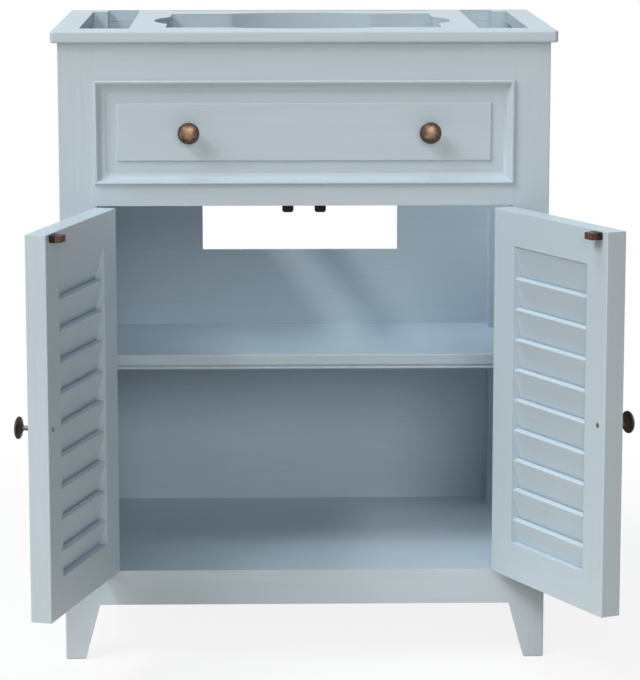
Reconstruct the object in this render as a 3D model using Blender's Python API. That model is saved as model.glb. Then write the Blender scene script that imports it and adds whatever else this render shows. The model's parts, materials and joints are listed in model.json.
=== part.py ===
"""Bathroom vanity cabinet: a cut-out top board on four tapered posts, a fixed drawer front,
one half-depth shelf and two louvred doors that stand open on butt hinges.

Lengths are metres. The cabinet is drawn with its front face on y = 0, its back towards +Y and the
floor at z = 0. Each door is drawn shut, about its own hinge pin, and its empty swings it open.
"""

import math

import bmesh
import bpy
import numpy as np

# Clearances
FIT_GAP = 0.0003
CLOSING_GAP = 0.0005
DOOR_GAP = 0.0015
MEETING_GAP = 0.003

# Top board and its cut-outs
TOP_WIDTH = 0.660
TOP_DEPTH = 0.450
TOP_THICKNESS = 0.016
TOP_OVERHANG = 0.009
TOP_EDGE_ROUNDING = 0.003
SIDE_RIM = 0.035
FRONT_RIM = 0.0515
REAR_RIM = 0.011
BOWL_WIDTH = 0.364
BOWL_DEPTH = 0.290
BOWL_OVAL_RIM = 0.047
BOWL_OVAL_WIDTH = 0.404
BOWL_OVAL_DEPTH = 0.332
BOWL_OVAL_SIDES = 48
STIFFENER_RIM = 0.0065
STIFFENER_DEPTH = 0.007
CROSS_MEMBER = 0.0475
SLOT_REAR_RIM = 0.023
SLOT_WIDTH = 0.010

# Posts and front rails, from the floor up
POST_WIDTH = 0.0465
POST_DEPTH = 0.049
FOOT_HEIGHT = 0.075
FOOT_TIP_WIDTH = 0.0265
FOOT_TIP_DEPTH = 0.029
BOTTOM_RAIL_HEIGHT = 0.047
DOOR_OPENING_HEIGHT = 0.4915
DRAWER_RAIL_HEIGHT = 0.0285
DRAWER_FRONT_HEIGHT = 0.136
TOP_RAIL_HEIGHT = 0.0485
TOP_RAIL_THICKNESS = 0.022
EASED_EDGE = 0.001

# Panels and shelf
SIDE_THICKNESS = 0.012
SIDE_SETBACK = 0.006
BACK_THICKNESS = 0.006
BACK_SETBACK = 0.005
PLUMBING_WIDTH = 0.284
PLUMBING_HEIGHT = 0.190
PLUMBING_SILL = 0.494
FLOOR_THICKNESS = 0.015
SHELF_LEVEL = 0.384
SHELF_FRONT = 0.173
SHELF_THICKNESS = 0.015
NOSING_DEPTH = 0.018
NOSING_BAND = 0.0145
NOSING_GROOVE_HEIGHT = 0.002
NOSING_GROOVE_DEPTH = 0.003
NOSING_BEAD = 0.004
CLEAT_WIDTH = 0.018
CLEAT_HEIGHT = 0.020

# Fixed drawer front
FRONT_PANEL_THICKNESS = 0.014
FIELD_SETBACK = 0.006
FIELD_WIDTH = 0.0143
RAISED_HEIGHT = 0.003
RAISED_BEVEL = 0.0006
MOULDING_WIDTH = 0.015
MOULDING_PROUD = 0.005
MOULDING_BEAD = 0.0042
MOULDING_EDGE = 0.0012
MOULDING_QUIRK = 0.0012
COVE_STEPS = 6
DRAWER_KNOB_LEFT = 0.151
DRAWER_KNOB_RIGHT = 0.164

# Doors
DOOR_THICKNESS = 0.0275
HINGE_STILE_WIDTH = 0.0495
FREE_STILE_WIDTH = 0.046
DOOR_TOP_RAIL = 0.045
DOOR_BOTTOM_RAIL = 0.049
SLAT_PITCH = 0.0401
SLAT_WIDTH = 0.045
SLAT_THICKNESS = 0.0088
SLAT_SETBACK = 0.0022
SLAT_LEAN = math.radians(14.5)
SLAT_EASED_EDGE = 0.002
DOOR_KNOB_FROM_EDGE = 0.0157
LEFT_DOOR_OPEN = math.radians(105.6)
RIGHT_DOOR_OPEN = math.radians(116.1)

# Catch under the drawer rail, and the strike on each door
STRIKE_FROM_EDGE = 0.011
STRIKE_LENGTH = 0.018
STRIKE_DEPTH = 0.0155
STRIKE_HEIGHT = 0.0095
STRIKE_FROM_TOP = 0.0012
CATCH_WIDTH = 0.015
CATCH_DEPTH = 0.008
CATCH_DROP = 0.0145
CATCH_PLATE = 0.002

# Turned knobs and their screws
KNOB_RADIUS = 0.01425
KNOB_PROJECTION = 0.022
KNOB_DOME = 0.0047
KNOB_RIM = 0.0008
KNOB_BACK = 0.0045
KNOB_NECK = 0.002
KNOB_STEM_RADIUS = 0.0031
KNOB_FLARE = 0.0014
KNOB_BASE_RADIUS = 0.0054
KNOB_BASE_HEIGHT = 0.0015
SCREW_RADIUS = 0.002
SCREW_HEAD_RADIUS = 0.0035
SCREW_HEAD_HEIGHT = 0.0016
KNOB_SIDES = 20
DOME_STEPS = 5

# Butt hinges
HINGE_HEIGHT = 0.050
HINGE_INSET = 0.070
LEAF_WIDTH = 0.024
LEAF_THICKNESS = 0.0007
KNUCKLE_RADIUS = 0.0026
PIN_RADIUS = 0.0013
PIN_CLEARANCE = 0.0002
HINGE_SIDES = 16

# Finishes: colour, roughness, metallic
PAINT = ((0.45, 0.52, 0.56), 0.45, 0.0)
BRONZE = ((0.16, 0.10, 0.06), 0.35, 0.9)
DARK_PLASTIC = ((0.06, 0.03, 0.02), 0.5, 0.0)
STEEL = ((0.45, 0.42, 0.38), 0.35, 1.0)

# Places worked out from the sizes
BODY_DEPTH = TOP_DEPTH - TOP_OVERHANG
HALF_BODY = TOP_WIDTH / 2 - TOP_OVERHANG
HALF_OPENING = HALF_BODY - POST_WIDTH
OPENING_BOTTOM = FOOT_HEIGHT + BOTTOM_RAIL_HEIGHT
OPENING_TOP = OPENING_BOTTOM + DOOR_OPENING_HEIGHT
DRAWER_BOTTOM = OPENING_TOP + DRAWER_RAIL_HEIGHT
DRAWER_TOP = DRAWER_BOTTOM + DRAWER_FRONT_HEIGHT
TOP_UNDERSIDE = DRAWER_TOP + TOP_RAIL_HEIGHT
TOP_SURFACE = TOP_UNDERSIDE + TOP_THICKNESS
REAR_POST_FRONT = BODY_DEPTH - POST_DEPTH
SIDE_INNER = HALF_BODY - SIDE_SETBACK - SIDE_THICKNESS
BACK_FRONT = BODY_DEPTH - BACK_SETBACK - BACK_THICKNESS
SIDE_HOLE_OUTER = TOP_WIDTH / 2 - SIDE_RIM
SIDE_HOLE_INNER = BOWL_WIDTH / 2 + CROSS_MEMBER
SIDE_HOLE_FRONT = FRONT_RIM - TOP_OVERHANG
SIDE_HOLE_REAR = BODY_DEPTH - REAR_RIM
BOWL_CENTRE = BOWL_OVAL_RIM - TOP_OVERHANG + BOWL_OVAL_DEPTH / 2
BOWL_FRONT = BOWL_CENTRE - BOWL_DEPTH / 2
HINGE_GAP = 2 * LEAF_THICKNESS + 3 * FIT_GAP
DOOR_WIDTH = HALF_OPENING - HINGE_GAP - MEETING_GAP / 2
DOOR_BOTTOM = OPENING_BOTTOM + DOOR_GAP
DOOR_TOP = OPENING_TOP - DOOR_GAP
CATCH_FRONT = DOOR_THICKNESS + FIT_GAP + STRIKE_DEPTH + CLOSING_GAP
CATCH_BACK = CATCH_FRONT + CATCH_DEPTH
STRIKE_CENTRE = MEETING_GAP / 2 + STRIKE_FROM_EDGE + STRIKE_LENGTH / 2
RAISED_FACE = FIELD_SETBACK - RAISED_HEIGHT


def clear_scene():
    """Removes whatever the file starts with."""
    for old in list(bpy.data.objects):
        bpy.data.objects.remove(old)


def material_for(name, finish):
    """A Principled material of its own for one piece."""
    colour, roughness, metallic = finish
    material = bpy.data.materials.new(name)
    material.use_nodes = True
    shader = material.node_tree.nodes["Principled BSDF"]
    shader.inputs["Base Color"].default_value = (*colour, 1.0)
    shader.inputs["Roughness"].default_value = roughness
    shader.inputs["Metallic"].default_value = metallic
    return material


def finished_mesh(name, shape):
    """The bmesh as a mesh, with its faces turned outwards."""
    bmesh.ops.recalc_face_normals(shape, faces=shape.faces)
    mesh = bpy.data.meshes.new(name)
    shape.to_mesh(mesh)
    shape.free()
    return mesh


def box_mesh(name, size):
    """A box of this size about its own centre."""
    shape = bmesh.new()
    bmesh.ops.create_cube(shape, size=1.0)
    bmesh.ops.scale(shape, vec=size, verts=shape.verts)
    return finished_mesh(name, shape)


def stacked_mesh(name, rings):
    """A solid through closed rings of as many corners each, with the first and the last ring filled."""
    shape = bmesh.new()
    levels = [[shape.verts.new(point) for point in ring] for ring in rings]
    count = len(levels[0])
    for low, high in zip(levels, levels[1:]):
        for i in range(count):
            j = (i + 1) % count
            shape.faces.new((low[i], low[j], high[j], high[i]))
    shape.faces.new(levels[0])
    shape.faces.new(levels[-1])
    return finished_mesh(name, shape)


def turned_mesh(name, profile, sides):
    """A solid of revolution about Z, from (radius, height) points that start and end on the axis."""
    shape = bmesh.new()
    points = [shape.verts.new((radius, 0.0, height)) for radius, height in profile]
    edges = [shape.edges.new(pair) for pair in zip(points, points[1:])]
    bmesh.ops.spin(
        shape,
        geom=points + edges,
        cent=(0.0, 0.0, 0.0),
        axis=(0.0, 0.0, 1.0),
        angle=2 * math.pi,
        steps=sides,
        use_merge=True,
    )
    bmesh.ops.remove_doubles(shape, verts=shape.verts, dist=1e-6)
    mesh = finished_mesh(name, shape)
    mesh.shade_smooth()
    mesh.set_sharp_from_angle(angle=math.radians(35))
    return mesh


def cylinder_mesh(name, radius, height, sides):
    """A cylinder about Z, centred on the origin."""
    half = height / 2
    return turned_mesh(name, [(0, half), (radius, half), (radius, -half), (0, -half)], sides)


def add_empty(name, parent, location=(0.0, 0.0, 0.0), turn=0.0):
    """A frame that carries other objects, turned about Z."""
    empty = bpy.data.objects.new(name, None)
    empty.parent = parent
    empty.location = location
    empty.rotation_euler = (0.0, 0.0, turn)
    bpy.context.collection.objects.link(empty)
    return empty


def add_piece(name, mesh, finish, parent, location=(0.0, 0.0, 0.0), turn=(0.0, 0.0, 0.0)):
    """One named piece with its own material. A mesh that is shared gets its material on the object."""
    piece = bpy.data.objects.new(name, mesh)
    if not mesh.materials:
        mesh.materials.append(None)
    piece.material_slots[0].link = "OBJECT"
    piece.material_slots[0].material = material_for(name, finish)
    piece.parent = parent
    piece.location = location
    piece.rotation_euler = turn
    bpy.context.collection.objects.link(piece)
    return piece


def ease_edges(piece, width, segments=1):
    """Breaks the sharp edges of a piece."""
    bevel = piece.modifiers.new("eased edges", "BEVEL")
    bevel.width = width
    bevel.segments = segments
    bevel.limit_method = "ANGLE"


def add_board(name, low, high, parent):
    """A painted board between two corners, with its edges eased."""
    low, high = np.array(low), np.array(high)
    piece = add_piece(name, box_mesh(name, high - low), PAINT, parent, (low + high) / 2)
    ease_edges(piece, EASED_EDGE)
    return piece


def add_helper(name, mesh, parent, location=(0.0, 0.0, 0.0), turn=(0.0, 0.0, 0.0)):
    """A shape that only cuts or joins others."""
    helper = bpy.data.objects.new(name, mesh)
    helper.parent = parent
    helper.location = location
    helper.rotation_euler = turn
    helper.display_type = "WIRE"
    helper.hide_render = True
    bpy.context.collection.objects.link(helper)
    return helper


def add_box_helper(name, low, high, parent):
    """A box-shaped cutter between two corners."""
    low, high = np.array(low), np.array(high)
    return add_helper(name, box_mesh(name, high - low), parent, (low + high) / 2)


def combine(piece, helper, operation="DIFFERENCE"):
    """Cuts the helper out of the piece, or joins it on with UNION."""
    boolean = piece.modifiers.new(helper.name, "BOOLEAN")
    boolean.operation = operation
    boolean.solver = "EXACT"
    boolean.object = helper


def build_top(root):
    """The top board with its bowl opening, side openings and rear slot, and with a stiffener under the
    bowl opening's rim."""
    half = TOP_WIDTH / 2
    low = (-half, -TOP_OVERHANG, TOP_UNDERSIDE + FIT_GAP)
    high = (half, BODY_DEPTH, TOP_SURFACE)
    size = np.subtract(high, low)
    board = add_piece("top_board", box_mesh("top_board", size), PAINT, root, np.add(low, high) / 2)
    ease_edges(board, TOP_EDGE_ROUNDING, segments=2)
    half_width = BOWL_OVAL_WIDTH / 2 + STIFFENER_RIM
    half_depth = BOWL_OVAL_DEPTH / 2 + STIFFENER_RIM
    stiffener = add_box_helper(
        "bowl_stiffener",
        (-half_width, BOWL_CENTRE - half_depth, TOP_UNDERSIDE - STIFFENER_DEPTH),
        (half_width, BOWL_CENTRE + half_depth, TOP_UNDERSIDE + TOP_THICKNESS / 2),
        root,
    )
    combine(board, stiffener, "UNION")
    under, over = TOP_UNDERSIDE - TOP_THICKNESS, TOP_SURFACE + TOP_THICKNESS
    half_bowl = BOWL_WIDTH / 2
    slot_rear = BODY_DEPTH - SLOT_REAR_RIM
    openings = {
        "left_opening": (-SIDE_HOLE_OUTER, -SIDE_HOLE_INNER, SIDE_HOLE_FRONT, SIDE_HOLE_REAR),
        "right_opening": (SIDE_HOLE_INNER, SIDE_HOLE_OUTER, SIDE_HOLE_FRONT, SIDE_HOLE_REAR),
        "bowl_opening": (-half_bowl, half_bowl, BOWL_FRONT, BOWL_FRONT + BOWL_DEPTH),
        "rear_slot": (-half_bowl, half_bowl, slot_rear - SLOT_WIDTH, slot_rear),
    }
    for name, (left, right, front, rear) in openings.items():
        combine(board, add_box_helper(name, (left, front, under), (right, rear, over), root))
    oval = cylinder_mesh("bowl_oval", 0.5, over - under, BOWL_OVAL_SIDES)
    place = (0.0, BOWL_CENTRE, (under + over) / 2)
    oval_cutter = add_helper("bowl_oval", oval, root, place)
    oval_cutter.scale = (BOWL_OVAL_WIDTH, BOWL_OVAL_DEPTH, 1.0)
    combine(board, oval_cutter)


def post_mesh(name, side, end):
    """A square post that tapers at its foot on the two faces towards the cabinet's middle.
    side is -1 left or 1 right, and end is -1 front or 1 rear."""
    outer_y = 0.0 if end < 0 else BODY_DEPTH

    def ring(level, width, depth):
        x = side * (HALF_BODY - width)
        y = outer_y - end * depth
        corners = (side * HALF_BODY, outer_y), (x, outer_y), (x, y), (side * HALF_BODY, y)
        return [(*corner, level) for corner in corners]

    return stacked_mesh(
        name,
        [
            ring(0.0, FOOT_TIP_WIDTH, FOOT_TIP_DEPTH),
            ring(FOOT_HEIGHT, POST_WIDTH, POST_DEPTH),
            ring(TOP_UNDERSIDE, POST_WIDTH, POST_DEPTH),
        ],
    )


def build_posts(root):
    """Four posts. The rear pair carry a stub that fills the corner of the top's side opening."""
    posts = {}
    for side, side_name in ((-1, "left"), (1, "right")):
        for end, end_name in ((-1, "front"), (1, "rear")):
            name = f"{end_name}_{side_name}_post"
            posts[name] = add_piece(name, post_mesh(name, side, end), PAINT, root)
            ease_edges(posts[name], EASED_EDGE)
        inner, outer = side * (HALF_OPENING + EASED_EDGE), side * (SIDE_HOLE_OUTER - FIT_GAP)
        stub = add_box_helper(
            f"rear_{side_name}_stub",
            (min(inner, outer), REAR_POST_FRONT + EASED_EDGE, TOP_UNDERSIDE - TOP_THICKNESS),
            (max(inner, outer), SIDE_HOLE_REAR - FIT_GAP, TOP_SURFACE),
            root,
        )
        combine(posts[f"rear_{side_name}_post"], stub, "UNION")
    return posts


def build_front_rails(root):
    """The three rails between the front posts."""
    half = HALF_OPENING - FIT_GAP
    rails = {
        "front_top_rail": (DRAWER_TOP, TOP_UNDERSIDE, TOP_RAIL_THICKNESS),
        "drawer_rail": (OPENING_TOP, DRAWER_BOTTOM, CATCH_BACK),
        "front_bottom_rail": (FOOT_HEIGHT, OPENING_BOTTOM, POST_DEPTH),
    }
    for name, (bottom, top, depth) in rails.items():
        add_board(name, (-half, 0.0, bottom), (half, depth, top), root)


def build_panels(root):
    """The side panels, the back with its plumbing opening, and the cabinet floor."""
    for side, name in ((-1, "left_side_panel"), (1, "right_side_panel")):
        faces = sorted((side * SIDE_INNER, side * (HALF_BODY - SIDE_SETBACK)))
        add_board(
            name,
            (faces[0], POST_DEPTH + FIT_GAP, FOOT_HEIGHT),
            (faces[1], REAR_POST_FRONT - FIT_GAP, TOP_UNDERSIDE),
            root,
        )
    half = HALF_OPENING - FIT_GAP
    back = add_board(
        "back_panel",
        (-half, BACK_FRONT, FOOT_HEIGHT),
        (half, BACK_FRONT + BACK_THICKNESS, TOP_UNDERSIDE),
        root,
    )
    half_cut = PLUMBING_WIDTH / 2
    plumbing = add_box_helper(
        "plumbing_opening",
        (-half_cut, BACK_FRONT - BACK_THICKNESS, PLUMBING_SILL),
        (half_cut, BACK_FRONT + 2 * BACK_THICKNESS, PLUMBING_SILL + PLUMBING_HEIGHT),
        root,
    )
    combine(back, plumbing)
    half_floor = SIDE_INNER - FIT_GAP
    floor = add_board(
        "bottom_panel",
        (-half_floor, POST_DEPTH + FIT_GAP, OPENING_BOTTOM - FLOOR_THICKNESS),
        (half_floor, BACK_FRONT - FIT_GAP, OPENING_BOTTOM),
        root,
    )
    return floor


def build_shelf(root):
    """The half-depth shelf with its grooved nosing, on a cleat at each side."""
    front, back = SHELF_FRONT, BACK_FRONT - FIT_GAP
    groove_top = SHELF_LEVEL - NOSING_BAND
    groove_bottom = groove_top - NOSING_GROOVE_HEIGHT
    nosing_bottom = groove_bottom - NOSING_BEAD
    underside = SHELF_LEVEL - SHELF_THICKNESS
    outline = [
        (front, SHELF_LEVEL),
        (front, groove_top),
        (front + NOSING_GROOVE_DEPTH, groove_top),
        (front + NOSING_GROOVE_DEPTH, groove_bottom),
        (front, groove_bottom),
        (front, nosing_bottom),
        (front + NOSING_DEPTH, nosing_bottom),
        (front + NOSING_DEPTH, underside),
        (back, underside),
        (back, SHELF_LEVEL),
    ]
    half = SIDE_INNER - FIT_GAP
    ends = [[(x, y, z) for y, z in outline] for x in (-half, half)]
    shelf = add_piece("shelf", stacked_mesh("shelf", ends), PAINT, root)
    for side, name in ((-1, "left_shelf_cleat"), (1, "right_shelf_cleat")):
        faces = sorted((side * half, side * (half - CLEAT_WIDTH)))
        add_board(
            name,
            (faces[0], front + NOSING_DEPTH + FIT_GAP, underside - FIT_GAP - CLEAT_HEIGHT),
            (faces[1], REAR_POST_FRONT - FIT_GAP, underside - FIT_GAP),
            root,
        )
    return shelf


def notch_round_rear_posts(boards, root):
    """Cuts the floor and the shelf round the rear posts."""
    for side, side_name in ((-1, "left"), (1, "right")):
        faces = sorted((side * (HALF_OPENING - FIT_GAP), side * HALF_BODY))
        notch = add_box_helper(
            f"rear_{side_name}_notch",
            (faces[0], REAR_POST_FRONT - FIT_GAP, FOOT_HEIGHT),
            (faces[1], BODY_DEPTH, TOP_UNDERSIDE),
            root,
        )
        for board in boards:
            combine(board, notch)


def knob_mesh(name, wood):
    """A mushroom knob with its screw through wood of this thickness. The wood's face is at height 0."""
    rim_top = KNOB_PROJECTION - KNOB_DOME
    rim_bottom = rim_top - KNOB_RIM
    back = rim_bottom - KNOB_BACK
    turns = [math.pi / 2 * step / DOME_STEPS for step in range(DOME_STEPS + 1)]
    dome = [(KNOB_RADIUS * math.sin(a), rim_top + KNOB_DOME * math.cos(a)) for a in turns]
    behind = -(wood + FIT_GAP)
    profile = dome + [
        (KNOB_RADIUS, rim_bottom),
        (KNOB_STEM_RADIUS + KNOB_FLARE, back),
        (KNOB_STEM_RADIUS, back - KNOB_NECK),
        (KNOB_STEM_RADIUS, KNOB_BASE_HEIGHT + KNOB_NECK),
        (KNOB_BASE_RADIUS, KNOB_BASE_HEIGHT),
        (KNOB_BASE_RADIUS, FIT_GAP),
        (SCREW_RADIUS, FIT_GAP),
        (SCREW_RADIUS, behind),
        (SCREW_HEAD_RADIUS, behind),
        (SCREW_HEAD_RADIUS, behind - SCREW_HEAD_HEIGHT),
        (0.0, behind - SCREW_HEAD_HEIGHT),
    ]
    return turned_mesh(name, profile, KNOB_SIDES)


def fit_knob(name, mesh, wood_piece, wood, face, parent):
    """Puts a knob on the front face of a piece, at this point, and drills the piece for its screw."""
    towards_front = (math.pi / 2, 0.0, 0.0)
    add_piece(name, mesh, BRONZE, parent, face, towards_front)
    drill = cylinder_mesh(f"{name}_hole", SCREW_RADIUS + FIT_GAP, 4 * wood, KNOB_SIDES)
    combine(wood_piece, add_helper(f"{name}_hole", drill, parent, face, towards_front))


def frame_ring(inset, depth):
    """The corners of the drawer opening, drawn in by inset, at this depth."""
    half = HALF_OPENING - FIT_GAP - inset
    bottom, top = DRAWER_BOTTOM + FIT_GAP + inset, DRAWER_TOP - FIT_GAP - inset
    return [(-half, depth, bottom), (half, depth, bottom), (half, depth, top), (-half, depth, top)]


def moulding_profile():
    """(inset, depth) round the moulding's section: a bead, a square quirk, a cove on a circle that runs
    out level at the inner edge, and a flat back."""
    seat = FIELD_SETBACK - FIT_GAP
    shoulder = MOULDING_EDGE - MOULDING_PROUD
    quirk = shoulder + MOULDING_QUIRK
    lip = FIELD_SETBACK - MOULDING_EDGE
    cove_width = MOULDING_WIDTH - MOULDING_BEAD - MOULDING_QUIRK
    cove_drop = lip - quirk
    radius = (cove_width**2 + cove_drop**2) / (2 * cove_drop)
    turns = np.linspace(math.atan2(cove_width, radius - cove_drop), 0.0, COVE_STEPS + 1)
    insets = MOULDING_WIDTH - radius * np.sin(turns)
    depths = lip - radius * (1 - np.cos(turns))
    return [
        (0.0, seat),
        (0.0, shoulder),
        (MOULDING_EDGE, -MOULDING_PROUD),
        (MOULDING_BEAD - MOULDING_EDGE, -MOULDING_PROUD),
        (MOULDING_BEAD, shoulder),
        (MOULDING_BEAD, quirk),
        *zip(insets, depths),
        (MOULDING_WIDTH, seat),
    ]


def ring_mesh(name, rings):
    """A closed hoop through rings of four corners, whose last ring joins the first."""
    shape = bmesh.new()
    levels = [[shape.verts.new(point) for point in ring] for ring in rings]
    for low, high in zip(levels, levels[1:] + levels[:1]):
        for i in range(4):
            j = (i + 1) % 4
            shape.faces.new((low[i], low[j], high[j], high[i]))
    return finished_mesh(name, shape)


def build_drawer_front(root):
    """The fixed drawer front: a panel with a raised field, a mitred moulding and two knobs."""
    raised = MOULDING_WIDTH + FIELD_WIDTH
    back = FIELD_SETBACK + FRONT_PANEL_THICKNESS
    rings = [
        frame_ring(0.0, back),
        frame_ring(0.0, FIELD_SETBACK),
        frame_ring(raised, FIELD_SETBACK),
        frame_ring(raised + RAISED_BEVEL, RAISED_FACE),
    ]
    panel = add_piece("drawer_front_panel", stacked_mesh("drawer_front_panel", rings), PAINT, root)
    hoop = [frame_ring(inset, depth) for inset, depth in moulding_profile()]
    add_piece("drawer_front_moulding", ring_mesh("drawer_front_moulding", hoop), PAINT, root)
    wood = back - RAISED_FACE
    mesh = knob_mesh("drawer_knob", wood)
    level = (DRAWER_BOTTOM + DRAWER_TOP) / 2
    for name, x in (("left", -DRAWER_KNOB_LEFT), ("right", DRAWER_KNOB_RIGHT)):
        fit_knob(f"drawer_{name}_knob", mesh, panel, wood, (x, RAISED_FACE, level), root)


def build_catch(root):
    """The double catch under the drawer rail, with one block for each door's strike."""
    top = OPENING_TOP - FIT_GAP
    under_plate, bottom = top - CATCH_PLATE, OPENING_TOP - CATCH_DROP
    outer, inner = STRIKE_CENTRE + CATCH_WIDTH / 2, STRIKE_CENTRE - CATCH_WIDTH / 2
    outline = [
        (-outer, top),
        (-outer, bottom),
        (-inner, bottom),
        (-inner, under_plate),
        (inner, under_plate),
        (inner, bottom),
        (outer, bottom),
        (outer, top),
    ]
    ends = [[(x, y, z) for x, z in outline] for y in (CATCH_FRONT, CATCH_BACK)]
    add_piece("double_catch", stacked_mesh("double_catch", ends), DARK_PLASTIC, root)


def leaf_mesh(name, outline, inner_face, helpers):
    """A hinge leaf from its (y, z) outline, with its knuckles joined on, baked to one mesh."""
    faces = sorted((inner_face, inner_face + math.copysign(LEAF_THICKNESS, inner_face)))
    leaf = add_helper(name, stacked_mesh(name, [[(x, y, z) for y, z in outline] for x in faces]), None)
    for helper, operation in helpers:
        combine(leaf, helper, operation)
    graph = bpy.context.evaluated_depsgraph_get()
    mesh = bpy.data.meshes.new_from_object(leaf.evaluated_get(graph))
    for helper in [leaf] + [helper for helper, _ in helpers]:
        bpy.data.objects.remove(helper)
    return mesh


def hinge_meshes():
    """The frame leaf with its two knuckles and the pin, and the door leaf with its bored knuckle.
    Both lie about the pin's axis, shut, with the frame on the -X side and the door on +X."""
    half = HINGE_HEIGHT / 2
    knuckle_end = HINGE_HEIGHT / 6 - FIT_GAP / 2
    frame_start = HINGE_HEIGHT / 6 + FIT_GAP / 2
    clear = KNUCKLE_RADIUS + FIT_GAP
    frame_outline = [
        (0.0, -half),
        (LEAF_WIDTH, -half),
        (LEAF_WIDTH, half),
        (0.0, half),
        (0.0, frame_start),
        (clear, frame_start),
        (clear, -frame_start),
        (0.0, -frame_start),
    ]
    door_outline = [
        (clear, -half),
        (LEAF_WIDTH, -half),
        (LEAF_WIDTH, half),
        (clear, half),
        (clear, knuckle_end),
        (0.0, knuckle_end),
        (0.0, -knuckle_end),
        (clear, -knuckle_end),
    ]
    barrel_profile = [
        (0.0, half),
        (KNUCKLE_RADIUS, half),
        (KNUCKLE_RADIUS, frame_start),
        (PIN_RADIUS, frame_start),
        (PIN_RADIUS, -frame_start),
        (KNUCKLE_RADIUS, -frame_start),
        (KNUCKLE_RADIUS, -half),
        (0.0, -half),
    ]
    barrel = add_helper("barrel", turned_mesh("barrel", barrel_profile, HINGE_SIDES), None)
    knuckle_solid = cylinder_mesh("knuckle", KNUCKLE_RADIUS, 2 * knuckle_end, HINGE_SIDES)
    bore_solid = cylinder_mesh("bore", PIN_RADIUS + PIN_CLEARANCE, HINGE_HEIGHT, HINGE_SIDES)
    knuckle = add_helper("knuckle", knuckle_solid, None)
    bore = add_helper("bore", bore_solid, None)
    inner_face = FIT_GAP / 2
    frame_leaf = leaf_mesh("frame_leaf", frame_outline, -inner_face, [(barrel, "UNION")])
    door_leaf = leaf_mesh(
        "door_leaf", door_outline, inner_face, [(knuckle, "UNION"), (bore, "DIFFERENCE")]
    )
    return frame_leaf, door_leaf


def build_slats(side_name, sign, axis):
    """The louvre slats of one door, inner edge high. The lowest is trimmed to the bottom rail."""
    start = HINGE_GAP / 2 + HINGE_STILE_WIDTH + FIT_GAP
    end = HINGE_GAP / 2 + DOOR_WIDTH - FREE_STILE_WIDTH - FIT_GAP
    top = DOOR_TOP - DOOR_TOP_RAIL - FIT_GAP
    bottom = DOOR_BOTTOM + DOOR_BOTTOM_RAIL + FIT_GAP
    count = max(1, round((top - bottom) / SLAT_PITCH))
    for number in range(count):
        slat_top = top - number * SLAT_PITCH
        room = (slat_top - bottom - SLAT_THICKNESS * math.sin(SLAT_LEAN)) / math.cos(SLAT_LEAN)
        width = min(SLAT_WIDTH, room)
        rise = width * math.cos(SLAT_LEAN) + SLAT_THICKNESS * math.sin(SLAT_LEAN)
        name = f"{side_name}_door_slat_{number + 1:02d}"
        mesh = box_mesh(name, (end - start, SLAT_THICKNESS, width))
        inner_edge = DOOR_THICKNESS - SLAT_SETBACK
        reach = width * math.sin(SLAT_LEAN) + SLAT_THICKNESS * math.cos(SLAT_LEAN)
        centre = (sign * (start + end) / 2, inner_edge - reach / 2, slat_top - rise / 2)
        slat = add_piece(name, mesh, PAINT, axis, centre, (-SLAT_LEAN, 0.0, 0.0))
        ease_edges(slat, min(SLAT_EASED_EDGE, SLAT_THICKNESS / 3))


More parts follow.
